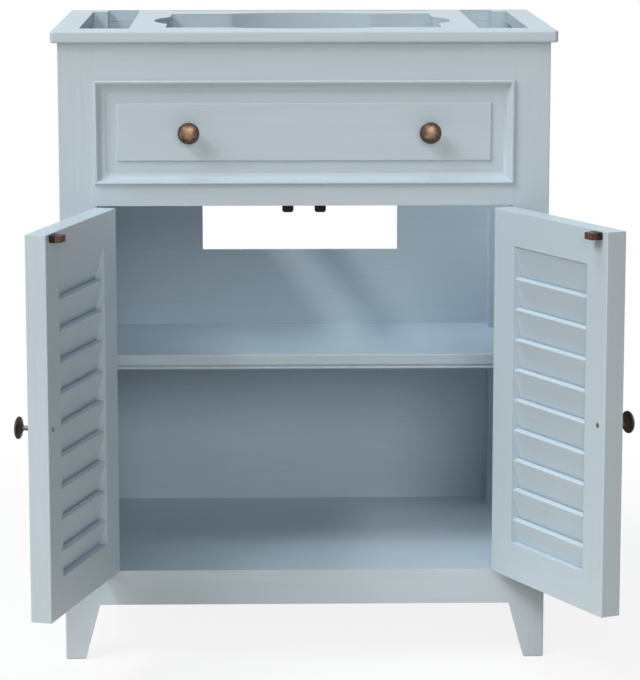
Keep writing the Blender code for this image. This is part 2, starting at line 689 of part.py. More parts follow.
def build_door(side_name, sign, opened, root, post, leaves):
    """One louvred door on its two hinges. sign is 1 where the door reaches from its pin towards +X."""
    pin_x = -sign * (HALF_OPENING - HINGE_GAP / 2)
    axis = add_empty(f"{side_name}_door_pin", root, (pin_x, 0.0, 0.0), -sign * opened)
    hinge_edge = HINGE_GAP / 2
    free_edge = hinge_edge + DOOR_WIDTH

    def door_board(name, start, end, bottom, top):
        faces = sorted((sign * start, sign * end))
        full_name = f"{side_name}_door_{name}"
        return add_board(full_name, (faces[0], 0.0, bottom), (faces[1], DOOR_THICKNESS, top), axis)

    rail_start = hinge_edge + HINGE_STILE_WIDTH
    rail_end = free_edge - FREE_STILE_WIDTH
    hinge_stile = door_board("hinge_stile", hinge_edge, rail_start, DOOR_BOTTOM, DOOR_TOP)
    free_stile = door_board("free_stile", rail_end, free_edge, DOOR_BOTTOM, DOOR_TOP)
    inner = (rail_start + FIT_GAP, rail_end - FIT_GAP)
    door_board("top_rail", *inner, DOOR_TOP - DOOR_TOP_RAIL, DOOR_TOP)
    door_board("bottom_rail", *inner, DOOR_BOTTOM, DOOR_BOTTOM + DOOR_BOTTOM_RAIL)
    build_slats(side_name, sign, axis)

    level = (DOOR_BOTTOM + DOOR_TOP) / 2
    face = (sign * (free_edge - DOOR_KNOB_FROM_EDGE), 0.0, level)
    name = f"{side_name}_door_knob"
    fit_knob(name, knob_mesh(name, DOOR_THICKNESS), free_stile, DOOR_THICKNESS, face, axis)

    strike = f"{side_name}_door_strike"
    size = (STRIKE_LENGTH, STRIKE_DEPTH, STRIKE_HEIGHT)
    place = (
        sign * (free_edge - STRIKE_FROM_EDGE - STRIKE_LENGTH / 2),
        DOOR_THICKNESS + FIT_GAP + STRIKE_DEPTH / 2,
        DOOR_TOP - STRIKE_FROM_TOP - STRIKE_HEIGHT / 2,
    )
    add_piece(strike, box_mesh(strike, size), DARK_PLASTIC, axis, place)

    frame_leaf, door_leaf = leaves
    turn = (0.0, 0.0 if sign > 0 else math.pi, 0.0)
    recess_radius = (KNUCKLE_RADIUS + FIT_GAP) / math.cos(math.pi / HINGE_SIDES)
    recess_mesh = cylinder_mesh("hinge_recess", recess_radius, HINGE_HEIGHT + 2 * FIT_GAP, HINGE_SIDES)
    for height_name, z in (("upper", DOOR_TOP - HINGE_INSET), ("lower", DOOR_BOTTOM + HINGE_INSET)):
        name = f"{side_name}_{height_name}_hinge"
        add_piece(f"{name}_frame_leaf", frame_leaf, STEEL, root, (pin_x, 0.0, z), turn)
        add_piece(f"{name}_door_leaf", door_leaf, STEEL, axis, (0.0, 0.0, z), turn)
        recess = add_helper(f"{name}_recess", recess_mesh, root, (pin_x, 0.0, z))
        combine(post, recess)
        combine(hinge_stile, recess)


def stand_on_origin(root):
    """Moves the whole object so that the world origin is under the middle of its box, on the floor."""
    bpy.context.view_layer.update()
    graph = bpy.context.evaluated_depsgraph_get()
    corners = []
    for piece in bpy.context.collection.objects:
        if piece.type != "MESH" or piece.hide_render:
            continue
        evaluated = piece.evaluated_get(graph)
        mesh = evaluated.to_mesh()
        points = np.empty(3 * len(mesh.vertices))
        mesh.vertices.foreach_get("co", points)
        matrix = np.array(evaluated.matrix_world)
        points = points.reshape(-1, 3) @ matrix[:3, :3].T + matrix[:3, 3]
        corners += [points.min(axis=0), points.max(axis=0)]
        evaluated.to_mesh_clear()
    low, high = np.min(corners, axis=0), np.max(corners, axis=0)
    root.location = (-(low[0] + high[0]) / 2, -(low[1] + high[1]) / 2, -low[2])


def main():
    clear_scene()
    root = add_empty("vanity", None)
    build_top(root)
    posts = build_posts(root)
    build_front_rails(root)
    floor = build_panels(root)
    shelf = build_shelf(root)
    notch_round_rear_posts([floor, shelf], root)
    build_drawer_front(root)
    build_catch(root)
    leaves = hinge_meshes()
    build_door("left", 1, LEFT_DOOR_OPEN, root, posts["front_left_post"], leaves)
    build_door("right", -1, RIGHT_DOOR_OPEN, root, posts["front_right_post"], leaves)
    stand_on_origin(root)


main()
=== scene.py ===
"""Looks of a louvred vanity cabinet in pale blue paint, and the studio that it stands in.

The packed CAD model is the frame. Each board is a rounded section carried along its length, and the
knobs and screws are turned profiles. A door's pieces are worked out shut, in axes that start at its
hinge pin, and are then carried to where the door stands. Sizes are in metres.
"""

import json
import math

import bmesh
import bpy
import numpy as np
from bpy.props import FloatProperty, FloatVectorProperty, PointerProperty
from mathutils import Matrix

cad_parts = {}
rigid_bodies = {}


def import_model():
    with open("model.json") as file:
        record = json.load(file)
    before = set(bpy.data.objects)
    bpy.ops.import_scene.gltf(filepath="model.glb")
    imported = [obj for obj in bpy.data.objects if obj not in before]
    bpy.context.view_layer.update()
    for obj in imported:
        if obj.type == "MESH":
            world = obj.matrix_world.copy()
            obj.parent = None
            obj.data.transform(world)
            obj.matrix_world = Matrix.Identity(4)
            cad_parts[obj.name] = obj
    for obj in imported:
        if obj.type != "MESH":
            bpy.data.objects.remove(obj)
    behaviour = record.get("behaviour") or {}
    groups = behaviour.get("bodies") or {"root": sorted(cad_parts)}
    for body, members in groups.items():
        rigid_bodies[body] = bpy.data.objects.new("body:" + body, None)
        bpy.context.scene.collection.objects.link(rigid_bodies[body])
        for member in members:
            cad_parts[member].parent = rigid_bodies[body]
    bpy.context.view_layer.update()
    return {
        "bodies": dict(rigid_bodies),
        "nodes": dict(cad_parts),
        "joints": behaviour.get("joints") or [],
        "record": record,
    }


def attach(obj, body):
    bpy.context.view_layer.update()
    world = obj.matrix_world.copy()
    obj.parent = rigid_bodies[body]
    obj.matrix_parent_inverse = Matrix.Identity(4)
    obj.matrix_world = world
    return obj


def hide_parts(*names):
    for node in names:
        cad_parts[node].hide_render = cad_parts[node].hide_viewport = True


bl_info = {
    "name": "Louvred Vanity Cabinet",
    "version": (1, 0, 0),
    "blender": (4, 5, 0),
    "location": "3D View > Sidebar > Vanity",
    "description": "Dresses the vanity cabinet's frame in painted boards and bronze, in a studio",
    "category": "Object",
}

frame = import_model()
BODY_OF = {node: body for body, nodes in frame["record"]["behaviour"]["bodies"].items() for node in nodes}
SLOT_OF = {part["node"]: part["material_slot"] for part in frame["record"]["subparts"]}

SIDES = ("left", "right")
QUARTER_STEPS = 4
MERGE_DISTANCE = 1e-6
SMOOTH_ANGLE = math.radians(35)
FIT_GAP = 0.0003
CORNERS = np.array([[1, 1], [-1, 1], [-1, -1], [1, -1]])
ACROSS = {"X": [1, 2], "Y": [2, 0], "Z": [0, 1]}
OVAL_STEPS = 240
LEAST = 1e-9
WHITE = (1.0, 1.0, 1.0, 1.0)

# Places of the colour sockets among all those of a Mix node
MIX_FACTOR, FIRST_COLOUR, SECOND_COLOUR = 0, 6, 7
MIXED_COLOUR = 2


def length(name, description, default):
    """A property for a size in metres."""
    return FloatProperty(
        name=name, description=description, default=default, min=0.0, precision=4, unit="LENGTH"
    )


def colour(name, description, default):
    """A property for a linear colour."""
    return FloatVectorProperty(
        name=name, description=description, default=default, min=0.0, max=1.0, size=3, subtype="COLOR"
    )


def share(name, description, default):
    """A property for a share between none and all."""
    return FloatProperty(
        name=name, description=description, default=default, min=0.0, max=1.0, subtype="FACTOR"
    )


def level(name, description, default):
    """A property for how light a lamp makes a white board that faces it."""
    return FloatProperty(name=name, description=description, default=default, min=0.0)


class VanityPaint(bpy.types.PropertyGroup):
    """The paint on the boards."""

    tint: colour("Colour", "Colour of the paint", (0.500, 0.600, 0.680))
    clouding: share("Clouding", "How far the colour drifts over a board", 0.04)
    brushing: share("Brushing", "How far brush marks move the colour", 0.04)
    roughness: share("Roughness", "Roughness of the dry paint", 0.42)
    spread: share("Spread", "How far from its colour the paint can go, lighter or darker", 0.1)
    unevenness: share("Unevenness", "How far brush marks move the roughness", 0.2)
    relief: length("Relief", "Height of the brush marks", 0.00008)
    stipple: share("Stipple", "Share of the relief that is the last coat's stipple", 0.3)


class VanityTop(bpy.types.PropertyGroup):
    """The cut-out top board."""

    edge_round: length("Edge round", "Radius of the outer edge", 0.003)
    side_rim: length("Side rim", "From the outer side to a side cut-out", 0.035)
    front_rim: length("Front rim", "From the front edge to a side cut-out", 0.0515)
    rear_rim: length("Rear rim", "From the rear edge to a side cut-out", 0.011)
    cross_member: length("Cross member", "Between the bowl cut-out and a side one", 0.0475)
    bowl_front_rim: length("Bowl rim", "From the front edge to the bowl's straight edge", 0.068)
    bowl_width: length("Bowl width", "Width of the bowl's straight-sided part", 0.364)
    bowl_depth: length("Bowl depth", "Depth of the bowl's straight-sided part", 0.290)
    oval_width: length("Oval width", "Width of the oval laid over it", 0.404)
    oval_depth: length("Oval depth", "Depth of the oval laid over it", 0.332)
    stiffener_rim: length("Stiffener", "From the oval to the edge of the stiffener below", 0.0065)
    slot_width: length("Slot width", "Width of the slot behind the bowl", 0.010)
    slot_rear_rim: length("Slot rim", "From the rear edge to the slot", 0.023)
    cut_round: length("Cut round", "Radius of the corners of a straight-sided cut-out", 0.0015)


class VanityBoards(bpy.types.PropertyGroup):
    """The boards of the cabinet and doors."""

    eased: length("Eased edge", "Radius of an edge that hands meet", 0.0014)
    crisp: length("Crisp edge", "Radius of an edge in a corner", 0.00015)
    foot_height: length("Foot height", "Height of the tapered foot", 0.075)
    foot_width: length("Foot width", "Width of the foot at the floor", 0.0265)
    foot_depth: length("Foot depth", "Depth of the foot at the floor", 0.029)
    nosing_depth: length("Nosing depth", "Depth of the shelf's nosing", 0.018)
    nosing_band: length("Nosing band", "Height of the nosing's flat band", 0.0145)
    nosing_groove: length("Nosing groove", "Height of the groove under the band", 0.002)
    nosing_sink: length("Nosing sink", "Depth of the groove under the band", 0.003)
    nosing_bead: length("Nosing bead", "Height of the bead under the groove", 0.004)
    nosing_round: length("Nosing round", "Radius of the nosing's upper edge", 0.002)
    nosing_arris: length("Nosing arris", "Radius of the band's lower edge", 0.001)
    shelf_thickness: length("Shelf thickness", "Thickness of the shelf behind its nosing", 0.015)
    plumbing_width: length("Plumbing width", "Width of the cut-out in the back", 0.284)
    plumbing_height: length("Plumbing height", "Height of the cut-out in the back", 0.190)
    plumbing_sill: length("Plumbing sill", "From the floor to the cut-out in the back", 0.494)


class VanityDrawer(bpy.types.PropertyGroup):
    """The fixed drawer front."""

    raised: length("Raised field", "Height of the centre over the flat border", 0.003)
    raised_inset: length("Border", "From the panel's edge to the raised centre", 0.0295)
    raised_round: length("Raised round", "Radius of the raised centre's edge", 0.0020)
    moulding_width: length("Moulding width", "Width of the applied moulding", 0.015)
    moulding_bead: length("Moulding bead", "Width of the moulding's outer bead", 0.0042)
    moulding_quirk: length("Moulding quirk", "Width of the step beside the bead", 0.0012)
    moulding_edge: length("Moulding edge", "Thickness of the moulding's inner edge", 0.0005)


class VanityLouvres(bpy.types.PropertyGroup):
    """The slats of the doors."""

    width: length("Width", "Width of a slat", 0.045)
    thickness: length("Thickness", "Thickness of a slat", 0.0088)
    edge_round: length("Edge round", "Radius of a slat's edges", 0.0018)
    lean: FloatProperty(
        name="Lean", description="How far a slat leans from upright", default=math.radians(14.5),
        subtype="ANGLE",
    )


class VanityKnobs(bpy.types.PropertyGroup):
    """The turned knobs, in shares of their radius and depths under their crown, and their screws."""

    crown: share("Crown", "Radius of the dome", 0.80)
    dome: length("Dome", "Depth of the dome's edge", 0.0026)
    quirk: length("Quirk", "Depth of the fine groove round the dome", 0.0031)
    quirk_inside: share("Quirk inside", "Inner radius of the groove", 0.815)
    quirk_outside: share("Quirk outside", "Outer radius of the groove", 0.835)
    rim: share("Rim", "Radius of the rim's roundness", 0.11)
    rim_depth: length("Rim depth", "Depth of the rim's middle", 0.0046)
    back_depth: length("Back depth", "Depth at which the hollow back starts", 0.0060)
    hollow: length("Hollow", "How much deeper the hollow back gets at the stem", 0.0042)
    stem: share("Stem", "Radius of the stem", 0.2175)
    neck: FloatProperty(name="Neck", description="The hollow back's end in stem radii", default=1.5)
    stem_top: share("Stem top", "Height of the stem's top, as a share of the knob's", 0.48)
    flare: length("Flare", "Radius of the flare at the foot", 0.0023)
    flare_height: length("Flare height", "Height at which the flare starts", 0.0046)
    foot: share("Foot", "Radius of the foot", 0.38)
    foot_height: length("Foot height", "Height of the foot", 0.0012)
    screw: length("Screw head", "Radius of the screw's head", 0.0035)
    screw_edge: length("Screw edge", "Height of the head's edge", 0.0002)
    screw_dome: length("Screw dome", "Height of the head's dome over its edge", 0.0014)
    cross: length("Cross", "Half the width of the cross cut into the head", 0.0006)
    cross_wall: length("Cross wall", "Width of the slope down into the cross", 0.0003)
    cross_reach: share("Cross reach", "How far out the cross goes, as a share of the head", 0.6)
    cross_end: length("Cross end", "Length of the slope at the cross's ends", 0.0004)
    cross_depth: length("Cross depth", "Depth of the cross", 0.0009)


class VanityCatches(bpy.types.PropertyGroup):
    """The double catch and the strikes."""

    block_width: length("Block width", "Width of each half of the catch", 0.015)
    block_round: length("Block round", "Radius of a half's lower corners", 0.0035)
    plate: length("Plate", "Thickness of the plate that joins the halves", 0.002)
    plate_round: length("Plate round", "Radius of the plate's edges", 0.0005)
    strike_step: share("Strike step", "Share of a strike's depth that its base takes up", 0.45)
    strike_inset: length("Strike inset", "From the base's side to the block's", 0.0004)
    strike_round: length("Strike round", "Radius of a strike's edges", 0.0008)
    end_round: length("End round", "Radius of the edges at the front and back", 0.0006)


class VanityMetal(bpy.types.PropertyGroup):
    """The colours of the knobs, catches and hinges."""

    bronze: colour("Bronze", "Rubbed bronze on a knob's crown", (0.27, 0.18, 0.115))
    # Behind the crown this is dull bronze; round the crown's edge it also starts the painted shade that
    # darkens the knob towards its rim
    umber: colour("Umber", "Dull bronze round the crown and behind it", (0.100, 0.062, 0.045))
    # Patina in the quirk's hollow; on the rim this dark is painted shade
    patina_and_shade: colour("Patina", "Dark bronze on a knob's rim", (0.060, 0.050, 0.046))
    stem: colour("Stem", "Greyer bronze of a knob's stem", (0.15, 0.13, 0.12))
    screw: colour("Screw", "Dull metal of a knob's screw", (0.20, 0.17, 0.16))
    plastic: colour("Plastic", "Near-black plastic of the catch", (0.022, 0.015, 0.014))
    strike: colour("Strike", "Brown plastic of the strikes", (0.105, 0.055, 0.042))
    steel: colour("Steel", "Plated steel of the hinges", (0.46, 0.43, 0.39))


class VanityStudio(bpy.types.PropertyGroup):
    """The camera, the lamps and the floor."""

    eye: FloatVectorProperty(
        name="Camera", description="Where the camera stands", default=(-0.08236, -3.89712, 1.1019),
        size=3, subtype="TRANSLATION", unit="LENGTH",
    )
    tilt: FloatProperty(
        name="Tilt", description="How far the camera looks down", default=0.1733, subtype="ANGLE"
    )
    yaw: FloatProperty(
        name="Yaw", description="How far the camera turns to the right", default=0.0211, subtype="ANGLE"
    )
    lens: FloatProperty(
        name="Lens", description="Focal length of the camera", default=155.0, unit="CAMERA"
    )
    beam: level("Beam", "Light of the long lamp high on the left", 0.41)
    side: level("Side", "Light of the lamp at the left", 0.267)
    overhead: level("Overhead", "Light of the top lamp", 0.46)
    high: level("High", "Light of the lamp in front, over the camera", 0.252)
    rear: level("Rear", "Light of the lamp behind the cabinet", 0.30)
    ambient: level("Ambient", "Light from all round", 0.01)
    sky: colour("Sky", "Colour of the light from all round", (0.95, 0.98, 1.0))
    floor: colour("Floor", "Colour of the floor in the light that it throws back", (0.76, 0.64, 0.54))
    floor_seen: colour("Floor seen", "Colour of the floor where it shows a shadow", (0.8, 0.8, 0.8))
    floor_reach: length("Floor reach", "From the cabinet to the floor's edges", 6.0)
    shadow: share("Shadow", "How much of the shadow on the floor shows", 0.14)
    shadow_near: length("Shadow near", "Where the shadow starts to fade out", 0.7)
    shadow_far: length("Shadow far", "Where the shadow has faded out", 1.5)


def rest_matrix(body):
    """Carries a body's own axes to the frame's. The cabinet's are the same, and a door's are those of
    the shut door: X along it with zero at its hinge pin, and Y into the cabinet from its face."""
    for joint in frame["joints"]:
        if joint["child"] == body:
            opened = -math.radians(joint["range_deg"][0]) * joint["axis"][2]
            x, y, _ = joint["pos_m"]
            return Matrix.Translation((x, y, 0.0)) @ Matrix.Rotation(opened, 4, "Z")
    return Matrix.Identity(4)


REST = {body: rest_matrix(body) for body in frame["bodies"]}


def node_box(node):
    """Lowest and highest corners of a CAD node along its own body's axes."""
    mesh = frame["nodes"][node].data
    points = np.empty(3 * len(mesh.vertices), np.float32)
    mesh.vertices.foreach_get("co", points)
    back = np.array(REST[BODY_OF[node]].inverted())
    points = points.reshape(-1, 3) @ back[:3, :3].T + back[:3, 3]
    return points.min(axis=0), points.max(axis=0)


class Shade:
    """A socket in a node tree. Arithmetic on it adds Math nodes, and node() adds any other."""

    def __init__(self, tree, socket=None):
        self.tree = tree
        self.socket = socket

    def node(self, kind, output=0, settings=None, inputs=None):
        """Adds a node, sets it up, fills its sockets with values or links and gives one output."""
        made = self.tree.nodes.new(kind)
        for name, value in (settings or {}).items():
            if name == "stops":
                ramp = made.color_ramp
                while len(ramp.elements) < len(value):
                    ramp.elements.new(0.5)
                for element, (place, tint) in zip(ramp.elements, value):
                    element.position = place
                    element.color = (*tint, 1.0)
            else:
                setattr(made, name, value)
        for name, value in (inputs or {}).items():
            if isinstance(value, Shade):
                self.tree.links.new(value.socket, made.inputs[name])
            else:
                made.inputs[name].default_value = value
        return Shade(self.tree, made.outputs[output])

    def maths(self, operation, first, second):
        return self.node("ShaderNodeMath", settings={"operation": operation}, inputs={0: first, 1: second})

    def __add__(self, other):
        return self.maths("ADD", self, other)

    def __radd__(self, other):
        return self.maths("ADD", other, self)

    def __sub__(self, other):
        return self.maths("SUBTRACT", self, other)

    def __rsub__(self, other):
        return self.maths("SUBTRACT", other, self)

    def __mul__(self, other):
        return self.maths("MULTIPLY", self, other)

    def mix(self, first, second):
        """A colour between two, with this socket as the factor."""
        return self.node(
            "ShaderNodeMix",
            output=MIXED_COLOUR,
            settings={"data_type": "RGBA"},
            inputs={MIX_FACTOR: self, FIRST_COLOUR: first, SECOND_COLOUR: second},
        )

    def noise(self, scale, detail=2.0, roughness=0.5):
        """Noise over this vector, about a half on average."""
        return self.node(
            "ShaderNodeTexNoise",
            inputs={"Vector": self, "Scale": scale, "Detail": detail, "Roughness": roughness},
        )

    def bump(self, distance, strength):
        """A normal bent by this height, where a height of one stands for the distance."""
        return self.node(
            "ShaderNodeBump", inputs={"Strength": strength, "Distance": distance, "Height": self}
        )

    def stretch(self, lengths, turn=0.0):
        """This vector turned to a piece's own axes about Z and measured in these lengths."""
        return self.node(
            "ShaderNodeMapping",
            settings={"vector_type": "TEXTURE"},
            inputs={"Vector": self, "Rotation": (0.0, 0.0, turn), "Scale": lengths},
        )


def new_material(name):
    """An empty material and the Shade that adds nodes to it."""
    material = bpy.data.materials.new(name)
    material.use_nodes = True
    material.node_tree.nodes.clear()
    return material, Shade(material.node_tree)


def close_material(shade, constants, links):
    """Ends a material in a Principled shader."""
    surface = shade.node("ShaderNodeBsdfPrincipled", inputs={**constants, **links})
    output = shade.tree.nodes.new("ShaderNodeOutputMaterial")
    shade.tree.links.new(surface.socket, output.inputs["Surface"])


def scaled(tint, amount):
    """A colour made lighter or darker, with the alpha that a socket wants."""
    return (*(min(1.0, channel * amount) for channel in tint), 1.0)


# Width and length of a brush mark, and which way the marks lie
FINE, LONG = 0.004, 0.15
GRAIN = {
    "upright": ((FINE, FINE, LONG), 0.0),
    "level": ((LONG, FINE, FINE), 0.0),
    "deep": ((FINE, LONG, FINE), 0.0),
    "left_door": ((LONG, FINE, FINE), REST["left_door"].to_euler().z),
    "right_door": ((LONG, FINE, FINE), REST["right_door"].to_euler().z),
}

# Noise keeps near its middle, and this brings it out to the ends of the paint's spread
NOISE_GAIN = 1.6
CLOUD_SCALE, STIPPLE_SCALE = 5.0, 600.0


def paint(grain):
    """Brushed satin paint: the colour drifts slowly over a board and along its brush marks, which lie
    along the grain and also stand in low relief, with the fine stipple of a sprayed last coat."""
    name = "pale_paint_" + grain
    if name in bpy.data.materials:
        return bpy.data.materials[name]
    look = bpy.context.scene.vanity_paint
    material, shade = new_material(name)
    place = shade.node("ShaderNodeTexCoord", output="Object")
    marks = place.stretch(*GRAIN[grain]).noise(1.0, detail=4.0, roughness=0.6)
    cloud = place.noise(CLOUD_SCALE, detail=3.0)
    stipple = place.noise(STIPPLE_SCALE)
    gain = NOISE_GAIN / look.spread
    drift = 0.5 + (cloud - 0.5) * (gain * look.clouding) + (marks - 0.5) * (gain * look.brushing)
    dark, light = (scaled(look.tint, 1.0 + way * look.spread) for way in (-1, 1))
    height = marks * (1.0 - look.stipple) + stipple * look.stipple
    close_material(
        shade,
        {"Specular IOR Level": 0.4},
        {
            "Base Color": drift.mix(dark, light),
            "Roughness": look.roughness + (marks - 0.5) * look.unevenness,
            "Normal": height.bump(look.relief, strength=0.5),
        },
    )
    return material


# How far along a knob's profile, from the crown's middle to the foot, each bronze starts or ends. From the
# crown's edge out over the rim the knob darkens as painted shade, with patina in the quirk
BRONZE_STOPS = (
    (0.0, "bronze"), (0.10, "bronze"), (0.22, "umber"), (0.27, "patina_and_shade"), (0.40, "patina_and_shade"),
    (0.46, "umber"), (0.60, "umber"), (0.67, "stem"), (0.80, "stem"), (0.88, "patina_and_shade"),
)
MOTTLE_SCALE, SPOT_SCALE = 420.0, 170.0
MOTTLE_SHIFT, SPOT_SHIFT = 0.16, 0.34
BRONZE_ROUGHNESS, BRONZE_UNEVENNESS = 0.30, 0.24
BRONZE_RELIEF = 0.0001


def aged_bronze():
    """Bronze rubbed bright on the crown and dark behind, with patina in the quirk and painted shade
    darkening the crown's edge and the rim. V of the turned profile gives the place from crown to foot, and
    noise breaks the rubbing up."""
    name = "rubbed_bronze"
    if name in bpy.data.materials:
        return bpy.data.materials[name]
    look = bpy.context.scene.vanity_metal
    material, shade = new_material(name)
    place = shade.node("ShaderNodeTexCoord", output="Object")
    turned = shade.node("ShaderNodeUVMap", settings={"uv_map": "Turned"})
    along = shade.node("ShaderNodeSeparateXYZ", output="Y", inputs={0: turned})
    mottle = place.noise(MOTTLE_SCALE, detail=3.0)
    spots = place.noise(SPOT_SCALE, detail=2.0)
    worn = along + (mottle - 0.5) * MOTTLE_SHIFT + (spots - 0.5) * SPOT_SHIFT
    stops = [(stop, tuple(getattr(look, kind))) for stop, kind in BRONZE_STOPS]
    close_material(
        shade,
        {"Metallic": 0.9},
        {
            "Base Color": shade.node("ShaderNodeValToRGB", settings={"stops": stops}, inputs={"Fac": worn}),
            "Roughness": BRONZE_ROUGHNESS + mottle * BRONZE_UNEVENNESS,
            "Normal": mottle.bump(BRONZE_RELIEF, strength=0.4),
        },
    )
    return material


MATT = {"Specular IOR Level": 0.15}
METAL = {"Metallic": 0.95}
SMALL_UNEVENNESS = 0.25
SMALL_RELIEF = 0.00008


def mottled(name, kind, constants, roughness, spread, grain):
    """A small part's finish in one of the metal colours: noise along its making direction moves its
    colour and roughness."""
    if name in bpy.data.materials:
        return bpy.data.materials[name]
    tint = tuple(getattr(bpy.context.scene.vanity_metal, kind))
    material, shade = new_material(name)
    place = shade.node("ShaderNodeTexCoord", output="Object")
    marks = place.stretch(grain).noise(1.0, detail=3.0)
    close_material(
        shade,
        constants,
        {
            "Base Color": marks.mix(scaled(tint, 1.0 - spread), scaled(tint, 1.0 + spread)),
            "Roughness": roughness + (marks - 0.5) * SMALL_UNEVENNESS,
            "Normal": marks.bump(SMALL_RELIEF, strength=0.4),
        },
    )
    return material


def moulded_plastic(kind):
    """Matt plastic with an even mottle."""
    return mottled("moulded_" + kind, kind, MATT, roughness=0.5, spread=0.3, grain=(0.0012, 0.0012, 0.0012))


def hinge_steel():
    """Plated steel, drawn along the hinge."""
    return mottled("plated_steel", "steel", METAL, roughness=0.34, spread=0.2, grain=(0.0006, 0.0006, 0.02))


def screw_metal():
    """Dull metal with an even mottle."""
    return mottled("screw_metal", "screw", METAL, roughness=0.35, spread=0.3, grain=(0.001, 0.001, 0.001))


def rounded_section(low, high, radii):
    """Four arcs round a rectangle, counter-clockwise from the corner that is high on both axes: a
    point is its corner's centre plus the corner's radius times (cos t, sin t)."""
    turn = np.arange(4)[:, None] * np.pi / 2 + np.linspace(0.0, np.pi / 2, QUARTER_STEPS + 1)
    radii = np.broadcast_to(np.asarray(radii, float), 4)
    centres = np.where(CORNERS > 0, high, low) - CORNERS * radii[:, None]
    return centres[:, None] + radii[:, None, None] * np.stack((np.cos(turn), np.sin(turn)), axis=-1)


def barrel_hollow(corner, point, pin, radius):
    """The arc about a hinge pin that hollows out a section's corner for the barrel, from where the
    circle leaves one of the corner's sides to where it meets the other."""
    sign = CORNERS[corner]
    on_face = np.array((pin[0] - sign[0] * radius, point[1]))
    drop = math.sqrt(radius**2 - (point[0] - pin[0]) ** 2)
    on_edge = np.array((point[0], pin[1] - sign[1] * drop))
    ends = (on_face, on_edge) if corner % 2 else (on_edge, on_face)
    start, stop = (np.arctan2(*(end - pin)[::-1]) for end in ends)
    sweep = (stop - start + np.pi) % (2 * np.pi) - np.pi
    turn = start + sweep * np.linspace(0.0, 1.0, QUARTER_STEPS + 1)
    return pin + radius * np.stack((np.cos(turn), np.sin(turn)), axis=-1)


def board_grid(box, axis, radii, ends=0.0):
    """A rounded section carried along an axis. Where the ends are rounded, the row at angle t from the
    end lies the radius times 1 - cos t in, and its section is drawn in by the radius times 1 - sin t."""
    low, high = box
    along, across = "XYZ".index(axis), ACROSS[axis]
    turn = np.linspace(0.0, np.pi / 2, QUARTER_STEPS + 1) if ends else np.array([np.pi / 2])
    inset = ends * (1.0 - np.sin(turn))
    place = ends * (1.0 - np.cos(turn))
    insets = np.concatenate((inset, inset[::-1]))
    places = np.concatenate((low[along] + place, high[along] - place[::-1]))
    radii = np.broadcast_to(np.asarray(radii, float), 4)
    sections = [
        rounded_section(low[across] + i, high[across] - i, np.maximum(radii - i, 0.0)) for i in insets
    ]
    grid = np.empty((len(places), 4 * (QUARTER_STEPS + 1), 3))
    grid[..., across] = np.reshape(sections, (len(places), -1, 2))
    grid[..., along] = places[:, None]
    return grid


def stacked_grid(levels, sections):
    """Sections across X and Y, one above the other at these levels."""
    grid = np.empty((len(levels), 4 * (QUARTER_STEPS + 1), 3))
    grid[..., :2] = np.reshape(sections, (len(levels), -1, 2))
    grid[..., 2] = np.asarray(levels)[:, None]
    return grid


def ring_grid(left, right, under, over, depth):
    """Upright rectangles one behind the other, with these sides and at these depths Y. Their corners run
    anticlockwise as seen from the front."""
    across = np.stack((left, right, right, left), axis=1)
    upward = np.stack((under, under, over, over), axis=1)
    behind = np.broadcast_to(np.asarray(depth)[:, None], across.shape)
    return np.stack((across, behind, upward), axis=-1)


def frame_grid(low, high, profile):
    """Upright rectangles one behind the other: a profile's point gives how far a rectangle is drawn in
    from the outline, and its depth Y."""
    inset, depth = np.asarray(profile, float).T
    return ring_grid(low[0] + inset, high[0] - inset, low[2] + inset, high[2] - inset, depth)


def turned_grid(centre, face, profile, outward, around=64):
    """A profile turned about an axis along Y. Its points are (radius, height over the face): the point
    at angle t is the centre plus the radius times (sin t, cos t), at the face less or plus the height."""
    radius, height = np.asarray(profile, float).T
    turn = np.linspace(0.0, 2 * np.pi, around, endpoint=False) * -outward
    grid = np.empty((len(radius), around, 3))
    grid[..., 0] = centre[0] + radius[:, None] * np.sin(turn)
    grid[..., 1] = face + outward * height[:, None]
    grid[..., 2] = centre[2] + radius[:, None] * np.cos(turn)
    return grid


def grid_mesh(name, grid, body, caps=True, wrap=False, turned=False):
    """A mesh on rows of points that each close on themselves. The end rows are filled, or the last row
    joined to the first. Points lie in the body's own axes. Turned gives it U round and V along."""
    rows, around = grid.shape[:2]
    index = np.arange(rows * around).reshape(rows, around)
    index = np.vstack((index, index[:1])) if wrap else index
    after = np.roll(index, -1, axis=1)
    quads = np.stack((index[:-1], after[:-1], after[1:], index[1:]), axis=-1).reshape(-1, 4)
    faces = quads.tolist()
    if caps and not wrap:
        faces += [index[0, ::-1].tolist(), index[-1].tolist()]
    matrix = np.array(REST[body])
    mesh = bpy.data.meshes.new(name)
    mesh.from_pydata((grid.reshape(-1, 3) @ matrix[:3, :3].T + matrix[:3, 3]).tolist(), [], faces)
    if turned:
        steps = np.linalg.norm(np.diff(grid[:, 0], axis=0), axis=1)
        along = np.concatenate(([0.0], np.cumsum(steps))) / steps.sum()
        row, column = np.meshgrid(np.arange(rows - 1), np.arange(around), indexing="ij")
        corner_u = np.stack((column, column + 1, column + 1, column), axis=-1) / around
        corner_v = np.stack((along[row], along[row], along[row + 1], along[row + 1]), axis=-1)
        layer = mesh.uv_layers.new(name="Turned")
        layer.data.foreach_set("uv", np.stack((corner_u, corner_v), axis=-1).ravel())
    return merged(mesh)


